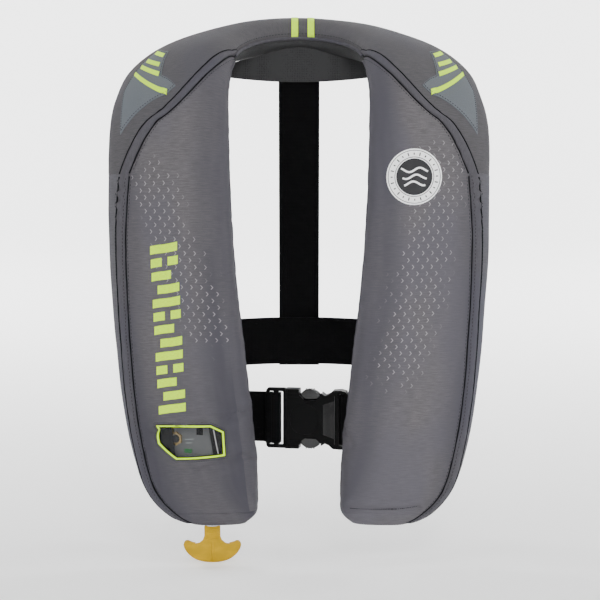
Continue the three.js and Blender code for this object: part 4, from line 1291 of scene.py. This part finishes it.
def ribbon(name, points, thickness, steps):
    """Flat webbing with rolled edges along a smooth line of points; its width stands upright."""
    spots = curve_through(np.array(points, float), np.linspace(0, 1, steps + 1))
    wide = np.array([0.0, 0.0, 1.0])
    normal = unit(np.cross(wide, unit(np.gradient(spots, axis=0))))
    angles = np.arange(RIBBON_SIDES) * 2 * math.pi / RIBBON_SIDES
    u, w = powered(np.cos(angles), 0.25), powered(np.sin(angles), 0.75)
    rings, uv = [], []
    for p, n, d in zip(spots, normal, run_length(spots)):
        rings.append(p + np.outer(u, wide) * WEBBING_WIDTH / 2 + np.outer(w, n) * thickness / 2)
        uv.extend([(a * WEBBING_WIDTH / 2, d) for a in u])
    faces = ring_faces(steps + 1, RIBBON_SIDES) + end_faces(steps + 1, RIBBON_SIDES)
    return face_out(new_object(name, np.concatenate(rings), faces, uv=np.array(uv) / 1000))


def local_frame(origin, angle):
    """Matrix of a part's own frame: x to the left lobe and back by an angle, y to the front, z up."""
    x = Vector((-math.cos(math.radians(angle)), math.sin(math.radians(angle)), 0))
    z = Vector((0, 0, 1))
    matrix = Matrix((x, z.cross(x), z)).transposed().to_4x4()
    matrix.translation = Vector(origin) * MM
    return matrix


BUCKLE = local_frame((0, -88, -318), 10)
SIDE = [
    (130, -60.5, -314), (150, -46, -309), (164, -26, -303), (168.5, 0, -298), (166, 35, -292), (155, 69, -288),
]
CHEST = [(50.8, -96.9, -318), (63, -92.6, -318), (85, -80.6, -318), (108, -70.4, -318)]
OVERLAP = [(163.0, 52, -290), (157.2, 70.6, -287.7), (152.0, 79.6, -285.9)]
# Where the webbing passes over the tongue's outer bar: along the belt, and forwards.
OVER_BAR = (
    (26.3, 3.9), (29.5, 3.95), (32, 3.75), (33.4, 2.6), (33.75, 0), (33.9, -2.2), (34.6, -3.4), (36.5, -3.9),
)


def along_buckle(s, f):
    return [c / MM for c in BUCKLE @ Vector((s * MM, f * MM, 0))]


def placed(obj, matrix):
    obj.data.transform(matrix)
    obj.data.update()
    return obj


def block(name, x0, x1, y0, y1, z0, z1):
    corners = [(x, y, z) for x in (x0, x1) for y in (y0, y1) for z in (z0, z1)]
    faces = [(0, 1, 3, 2), (4, 6, 7, 5), (0, 4, 5, 1), (2, 3, 7, 6), (0, 2, 6, 4), (1, 5, 7, 3)]
    return face_out(new_object(name, corners, faces, smooth=False))


def plate(name, outline, y0, y1):
    """A flat plate with an (x, z) outline and its thickness along y."""
    n = len(outline)
    vertices = [(x, y0, z) for x, z in outline] + [(x, y1, z) for x, z in outline]
    faces = [tuple(range(n)), tuple(reversed(range(n, 2 * n)))]
    faces += [(k, k + n, (k + 1) % n + n, (k + 1) % n) for k in range(n)]
    return face_out(new_object(name, vertices, faces, smooth=False))


def rounded(outline, passes=2):
    """Corner cutting that rounds a closed outline."""
    for _ in range(passes):
        result = []
        for (x0, z0), (x1, z1) in zip(outline, outline[1:] + outline[:1]):
            result.append((x0 * 0.75 + x1 * 0.25, z0 * 0.75 + z1 * 0.25))
            result.append((x0 * 0.25 + x1 * 0.75, z0 * 0.25 + z1 * 0.75))
        outline = result
    return outline


def mirrored(outline):
    return outline + [(x, -z) for x, z in reversed(outline)]


def webbing_loop(name, x0, x1, half_depth, thickness):
    """A flat loop of webbing round a buckle's bar."""
    half_height = WEBBING_WIDTH / 2
    outer = block(name, x0, x1, -half_depth, half_depth, -half_height, half_height)
    hole_depth = half_depth - 1.6
    return carve(outer, block("hole", x0 + thickness[0], x1 - thickness[1], -hole_depth, hole_depth, -40, 40))


right_belt = ribbon("right_belt", CHEST + SIDE, 1.9, 150)
dress(right_belt, "webbing", "webbing", "belt_side_right")
wrap_loop = bevelled(placed(webbing_loop("belt_wrap", -51.6, -43.4, 6, (1.7, 1.7)), BUCKLE), 1.6, 4)
dress(wrap_loop, "webbing_upright", "webbing", "belt_side_right")
turn_back = placed(bevelled(block("belt_turn_back", -43.3, -41.3, -5.2, 5.2, -25.2, 25.2), 0.7, 3), BUCKLE)
dress(turn_back, "webbing_upright", "webbing", "belt_side_right")
left_line = [along_buckle(s, 2) for s in (74, 80, 94, 108)] + [(-x, y, z) for x, y, z in SIDE]
dress(ribbon("left_belt", left_line, 1.5, 130), "webbing", "webbing", "belt_side_left")
for word, side in LOBES:
    overlap = ribbon(f"belt_overlap_{word}", [(side * x, y, z) for x, y, z in OVERLAP], 1.5, 30)
    dress(overlap, "webbing", "webbing", f"belt_side_{word}")

tail_loop = bevelled(placed(webbing_loop("tongue_wrap", 18.5, 27.3, 5, (1.6, 1.7)), BUCKLE), 1.6, 4)
dress(tail_loop, "webbing_upright", "webbing", "belt_front_left", body="buckle_tongue")
tail = ribbon("tongue_belt", [along_buckle(s, -4.2) for s in (26, 45, 65, 84.5)], 1.5, 50)
front_tail = ribbon("tongue_belt_front", [along_buckle(s, f) for s, f in OVER_BAR], 0.9, 60)
for belt in (tail, front_tail):
    dress(belt, "webbing", "webbing", "belt_front_left", body="buckle_tongue")

# Box stitching where the right belt is sewn back on itself: two upright lines and two level ones.
BOX_LINES = (
    ((58, -19), (58, 19)), ((78, -19), (78, 19)), ((58, -19), (78, -19)), ((58, 19), (78, 19)),
)
BOX_Z, BOX_LIFT, BOX_STEPS = -318, 1.15, 14
chest_x, chest_y, _ = np.array(CHEST, float).T
for number, (start, end) in enumerate(BOX_LINES):
    line = np.linspace(start, end, BOX_STEPS)
    depth = np.interp(line[:, 0], chest_x, chest_y) - BOX_LIFT
    spots = np.stack([line[:, 0], depth, BOX_Z + line[:, 1]], axis=1)
    for a, b in zip(spots, spots[1:]):
        middle, reach = (a + b) / 2, (b - a) * 0.36
        name = f"belt_stitch_{number}_{len(bpy.data.objects)}"
        thread = tube(name, [middle - reach, middle + reach], 0.3, 6)
        dress(thread, "thread")

# ------------------------------------------------------------------ buckle
SOCKET_OUTLINE = [
    (-49.5, 25), (-48, 28.4), (-43, 29.8), (-35, 29.2), (-31, 25.6), (-27, 24), (-23.5, 26.5),
    (-20, 28), (-3, 29), (0, 30), (13, 30),
]
SOCKET_HALF = 6.4
TONGUE_OUTLINE = [(13.5, 30.4), (31, 30.4), (33, 28), (33, -28), (31, -30.4), (13.5, -30.4)]
PRONG_OUTLINE = [
    (6.4, 18.6), (6.4, 22.4), (0, 23), (-2, 25), (-4.5, 28), (-9, 30), (-14, 30), (-19, 28),
    (-22, 25), (-22.2, 20.6), (-18, 19.6), (-8, 19),
]


def buckle_piece(piece, material, body):
    return dress(placed(piece, BUCKLE), material, "buckle_plastic", body=body)


socket = plate("buckle_socket", mirrored(SOCKET_OUTLINE), -SOCKET_HALF, SOCKET_HALF)
carve(
    socket,
    block("tongue_slot", -24, 14, -3.2, 3.2, -27, 27),
    plate("upper_side", rounded([(-23, 19), (-23, 40), (-1, 40), (-1, 19)], 1), -9, 9),
    plate("lower_side", rounded([(-23, -40), (-23, -19), (-1, -19), (-1, -40)], 1), -9, 9),
    block("webbing_slot", -45.5, -41, -8, 8, -26.4, 26.4),
    block("front_notch", -50.5, -45.4, 4, 8, -26.4, 26.4),
    block("back_notch", -50.5, -45.4, -8, -4, -26.4, 26.4),
)
buckle_piece(bevelled(socket, 1.1, 4), "buckle_plastic", "shell")
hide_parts("buckle_female")
flare = bevelled(block("buckle_flare", -37.6, -36.6, 6.0, 7.5, -24.5, 24.5), 0.45, 4)
buckle_piece(flare, "buckle_gloss", "shell")
for number in range(11):
    x, reach = -36.5 + number * 1.15, 19 - number * 0.4
    rib = bevelled(block(f"rib_{number}", x, x + 0.6, 6.0, 6.75, -reach, reach), 0.2, 2)
    buckle_piece(rib, "buckle_gloss" if number < 10 else "buckle_plastic", "shell")
raised = [plate("buckle_face", rounded([(-20, -16), (-20, 16), (8, 14.5), (8, -14.5)], 3), 6.0, 6.9)]
for sign in (1, -1):
    ridge = [(-1.5, sign * 22), (11.5, sign * 22), (11.5, sign * 25.5), (-1.5, sign * 25.5)]
    raised.append(plate(f"ridge_{sign}", ridge, 6, 6.8))
for piece in raised:
    buckle_piece(bevelled(piece, 0.5, 3), "buckle_plastic", "shell")
lip = plate("buckle_lip", rounded(mirrored([(10, 29.2), (13.0, 29.2)]), 1), 6.0, 6.95)
buckle_piece(bevelled(lip, 0.4, 3), "buckle_plastic", "shell")

tongue = plate("buckle_tongue_frame", TONGUE_OUTLINE, -3, 3)
carve(tongue, block("inner_slot", 15.8, 20.5, -8, 8, -27, 27), block("outer_slot", 25.2, 29.8, -8, 8, -27, 27))
tongue_pieces = [
    bevelled(tongue, 0.9, 4),
    bevelled(block("tongue_root", 6.8, 14.4, -2.7, 2.7, -24.6, 24.6), 0.7, 3),
    bevelled(block("tongue_guide", -20, 7, -2.3, 2.3, -4, 4), 0.9, 3),
]
for number in range(5):
    x = 21.6 + 0.75 * number
    tongue_pieces.append(bevelled(block(f"tongue_grip_{number}", x, x + 0.4, 2.7, 3.4, -24, 24), 0.15, 2))
for piece in tongue_pieces:
    buckle_piece(piece, "buckle_plastic", "buckle_tongue")
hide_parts("buckle_male")

for word, sign in (("upper", 1), ("lower", -1)):
    prong = plate(f"buckle_prong_{word}", rounded([(x, sign * z) for x, z in PRONG_OUTLINE], 2), -2.7, 2.7)
    pieces = [bevelled(prong, 0.9, 4)]
    low, high = (29.0, 30.5) if sign > 0 else (-30.5, -29.0)
    for number in range(4):
        x = -7.5 - number * 2.6
        grip = block(f"prong_grip_{word}_{number}", x - 0.5, x + 0.5, -2.2, 2.2, low, high)
        pieces.append(bevelled(grip, 0.4, 2))
    for piece in pieces:
        buckle_piece(piece, "buckle_gloss", f"{word}_prong")
    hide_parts(f"prong_{word}")

# ------------------------------------------------------------------ jerk handle
INFLATOR = local_frame((-106, -95, -336), 23.5)
LANYARD = INFLATOR @ Vector((-22.8 * MM, 3 * MM, 0)) / MM
HANDLE_TOP = -423.2
HANDLE_OUTLINE = [
    (8, 0), (8, -10.5), (9.6, -14.5), (13, -17.4), (17.5, -18.2), (22, -17), (25.5, -15.6), (28, -16.6),
    (28.8, -19.4), (27.6, -23.4), (24, -28.4), (18, -33), (10, -35.9), (0, -36.8),
]
RIM_START = 4


def both_halves(outline):
    return outline + [(-x, z) for x, z in reversed(outline[:-1])]


def smooth_tube(name, points, radius, count):
    return tube(name, curve_through(np.array(points, float), np.linspace(0, 1, count)), radius, 10)


handle = plate("jerk_handle_body", both_halves(HANDLE_OUTLINE), -2.1, 2.1)
carve(handle, tube("bore", [(0, 0, -9), (0, 0, 2)], 1.9, 20))
handle_pieces = [bevelled(handle, 0.9, 4)]
rim_line = [(x * 0.965, z * 0.965 - 0.65) for x, z in both_halves(HANDLE_OUTLINE[RIM_START:])]
for face in (-1, 1):
    rim = [(x, face * 1.9, z) for x, z in rim_line]
    handle_pieces.append(smooth_tube(f"handle_rim_{face}", rim, 0.75, 90))
    spine = [(0, face * 1.7, -16), (0, face * 2.0, -24), (0, face * 1.7, -34)]
    handle_pieces.append(smooth_tube(f"handle_spine_{face}", spine, 1.0, 24))
    for number in range(5):
        y, z = face * 1.9, -3.2 - number * 2.5
        rib = block(f"handle_rib_{number}_{face}", -6.4, 6.4, y - 0.7, y + 0.7, z - 0.55, z + 0.55)
        handle_pieces.append(bevelled(rib, 0.35, 3))
handle_place = Matrix.Translation(Vector((LANYARD.x, LANYARD.y, HANDLE_TOP)) * MM)
for piece in handle_pieces:
    dress(placed(piece, handle_place), "yellow_plastic", "yellow_plastic", body="jerk_handle")
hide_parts("pull_tab")

# ------------------------------------------------------------------ lanyards
CORD_TOP, CORD_LOW, CORD_RADIUS = -327.2, -431.7, 1.45
ORAL = local_frame((113, -94, -291), -25.7)
WHISTLE_CORD = ((27, 1, -29), (27, 1.4, -20), (27, 4, -4), (27, 7, 14))
WHISTLE_CORD_RADIUS = 1.05


def rope(name, points, radius, strands=3):
    """A laid rope: strands twisted round a line, as one closed mesh each, with a core."""
    along = unit(np.gradient(points, axis=0))
    run = run_length(points)
    side = unit(np.cross(along, np.tile([0.2, 1.0, 0.1], (len(points), 1))))
    other = np.cross(along, side)
    parts = [tube(f"{name}_core", points, radius * 0.6, 8)]
    for k in range(strands):
        angle = run * 0.66 / radius + 2 * math.pi * k / strands
        path = points + (side * np.cos(angle)[:, None] + other * np.sin(angle)[:, None]) * radius * 0.5
        parts.append(tube(f"{name}_strand_{k}", path, radius * 0.5, 8))
    bm = bmesh.new()
    for part in parts:
        bm.from_mesh(part.data)
        bpy.data.objects.remove(part, do_unlink=True)
    mesh = bpy.data.meshes.new(name)
    bm.to_mesh(mesh)
    bm.free()
    obj = bpy.data.objects.new(name, mesh)
    bpy.context.scene.collection.objects.link(obj)
    return obj


def lanyard(name, points, radius, body, node):
    """A cord with both ends on the object; its line runs upwards."""
    cord = dress(rope(name, points, radius), "white_cord", "white_cord", node, body=body)


cord_line = np.array([(LANYARD.x, LANYARD.y, z) for z in np.linspace(CORD_LOW, CORD_TOP, 160)])
lanyard("pull_cord", cord_line, CORD_RADIUS, "jerk_handle", "pull_lanyard")
whistle_points = np.array([ORAL @ (Vector(point) * MM) for point in WHISTLE_CORD]) / MM
whistle_line = curve_through(whistle_points, np.linspace(0, 1, 60))
lanyard("whistle_cord", whistle_line, WHISTLE_CORD_RADIUS, "whistle_body", "whistle_lanyard")


# ------------------------------------------------------------------ pieces kept from the frame
KEPT_MATERIALS = {
    "back_belt": "webbing_upright", "back_strap": "webbing_hanging", "strap_patch": "webbing_hanging",
    "belt_loop_left": "webbing_hanging", "belt_loop_right": "webbing_hanging", "neck_yoke": "yoke_cloth",
}
for name, node in frame["nodes"].items():
    for slot in node.material_slots:
        slot.material = materials[KEPT_MATERIALS.get(name, slot.material.name)]

# ------------------------------------------------------------------ floor, light and camera
FLOOR_Z, FLOOR_RADIUS, COVE_RADIUS, WALL_HEIGHT = -462.5, 3200, 1400, 5000
SPOKES = 96
STUDIO_WHITE = (0.86, 0.86, 0.86)


def stage_material():
    n = Nodes("studio_white")
    soft = n.noise(n.place(), 0.004, 2.0, 0.5)
    pale = n.mix(soft, tone(STUDIO_WHITE, 0.985), tone(STUDIO_WHITE, 1.015))
    n.set(colour=pale, light=pale, glow=0.36, rough=0.85, specular=0.2)
    return n.material


def studio_floor():
    """A round floor that curves up into a wall all round."""
    profile = [(r, 0.0) for r in np.linspace(0.0, FLOOR_RADIUS, 9)]
    for a in np.linspace(0.1, math.pi / 2, 16):
        profile.append((FLOOR_RADIUS + COVE_RADIUS * math.sin(a), COVE_RADIUS - COVE_RADIUS * math.cos(a)))
    profile.append((FLOOR_RADIUS + COVE_RADIUS, WALL_HEIGHT))
    angles = [2 * math.pi * k / SPOKES for k in range(SPOKES)]
    vertices = [(r * math.cos(a), r * math.sin(a), FLOOR_Z + z) for r, z in profile for a in angles]
    return new_object("studio_floor", vertices, ring_faces(len(profile), SPOKES))


paint(studio_floor(), stage_material())


def lamp(name, location, target, size, power):
    data = bpy.data.lights.new(name, "AREA")
    data.shape = "RECTANGLE"
    data.size, data.size_y = size
    data.energy = power
    light = bpy.data.objects.new(name, data)
    light.location = location
    light.rotation_euler = (Vector(target) - Vector(location)).to_track_quat("-Z", "Y").to_euler()
    bpy.context.scene.collection.objects.link(light)


TARGET = Vector((0.001, -0.115, -0.196))
lamp("key", (0.35, -2.2, 1.0), TARGET, (0.7, 0.7), 25)
lamp("left", (-1.7, -1.0, 0.4), TARGET, (0.8, 1.4), 1.5)
lamp("right", (1.7, -1.0, 0.4), TARGET, (0.8, 1.4), 7)
lamp("top", (0.0, -0.1, 1.7), TARGET, (1.4, 1.0), 12)
lamp("backdrop_left", (-2.0, 1.6, 1.2), (0, 4.2, 0.1), (1.2, 1.2), 190)
lamp("backdrop_right", (2.0, 1.6, 1.2), (0, 4.2, 0.1), (1.2, 1.2), 190)
world = bpy.data.worlds.new("studio")
world.use_nodes = True
background = world.node_tree.nodes["Background"].inputs
background["Color"].default_value = (0.95, 0.97, 1.0, 1)
background["Strength"].default_value = 0.2
bpy.context.scene.world = world

camera_data = bpy.data.cameras.new("camera")
camera_data.lens = 139.9
camera_data.sensor_width = 36
camera = bpy.data.objects.new("camera", camera_data)
ELEVATION, DISTANCE = math.radians(7), 2.285
camera.location = TARGET + Vector((0, -math.cos(ELEVATION), math.sin(ELEVATION))) * DISTANCE
camera.rotation_euler = (TARGET - camera.location).to_track_quat("-Z", "Y").to_euler()
bpy.context.scene.collection.objects.link(camera)
bpy.context.scene.camera = camera
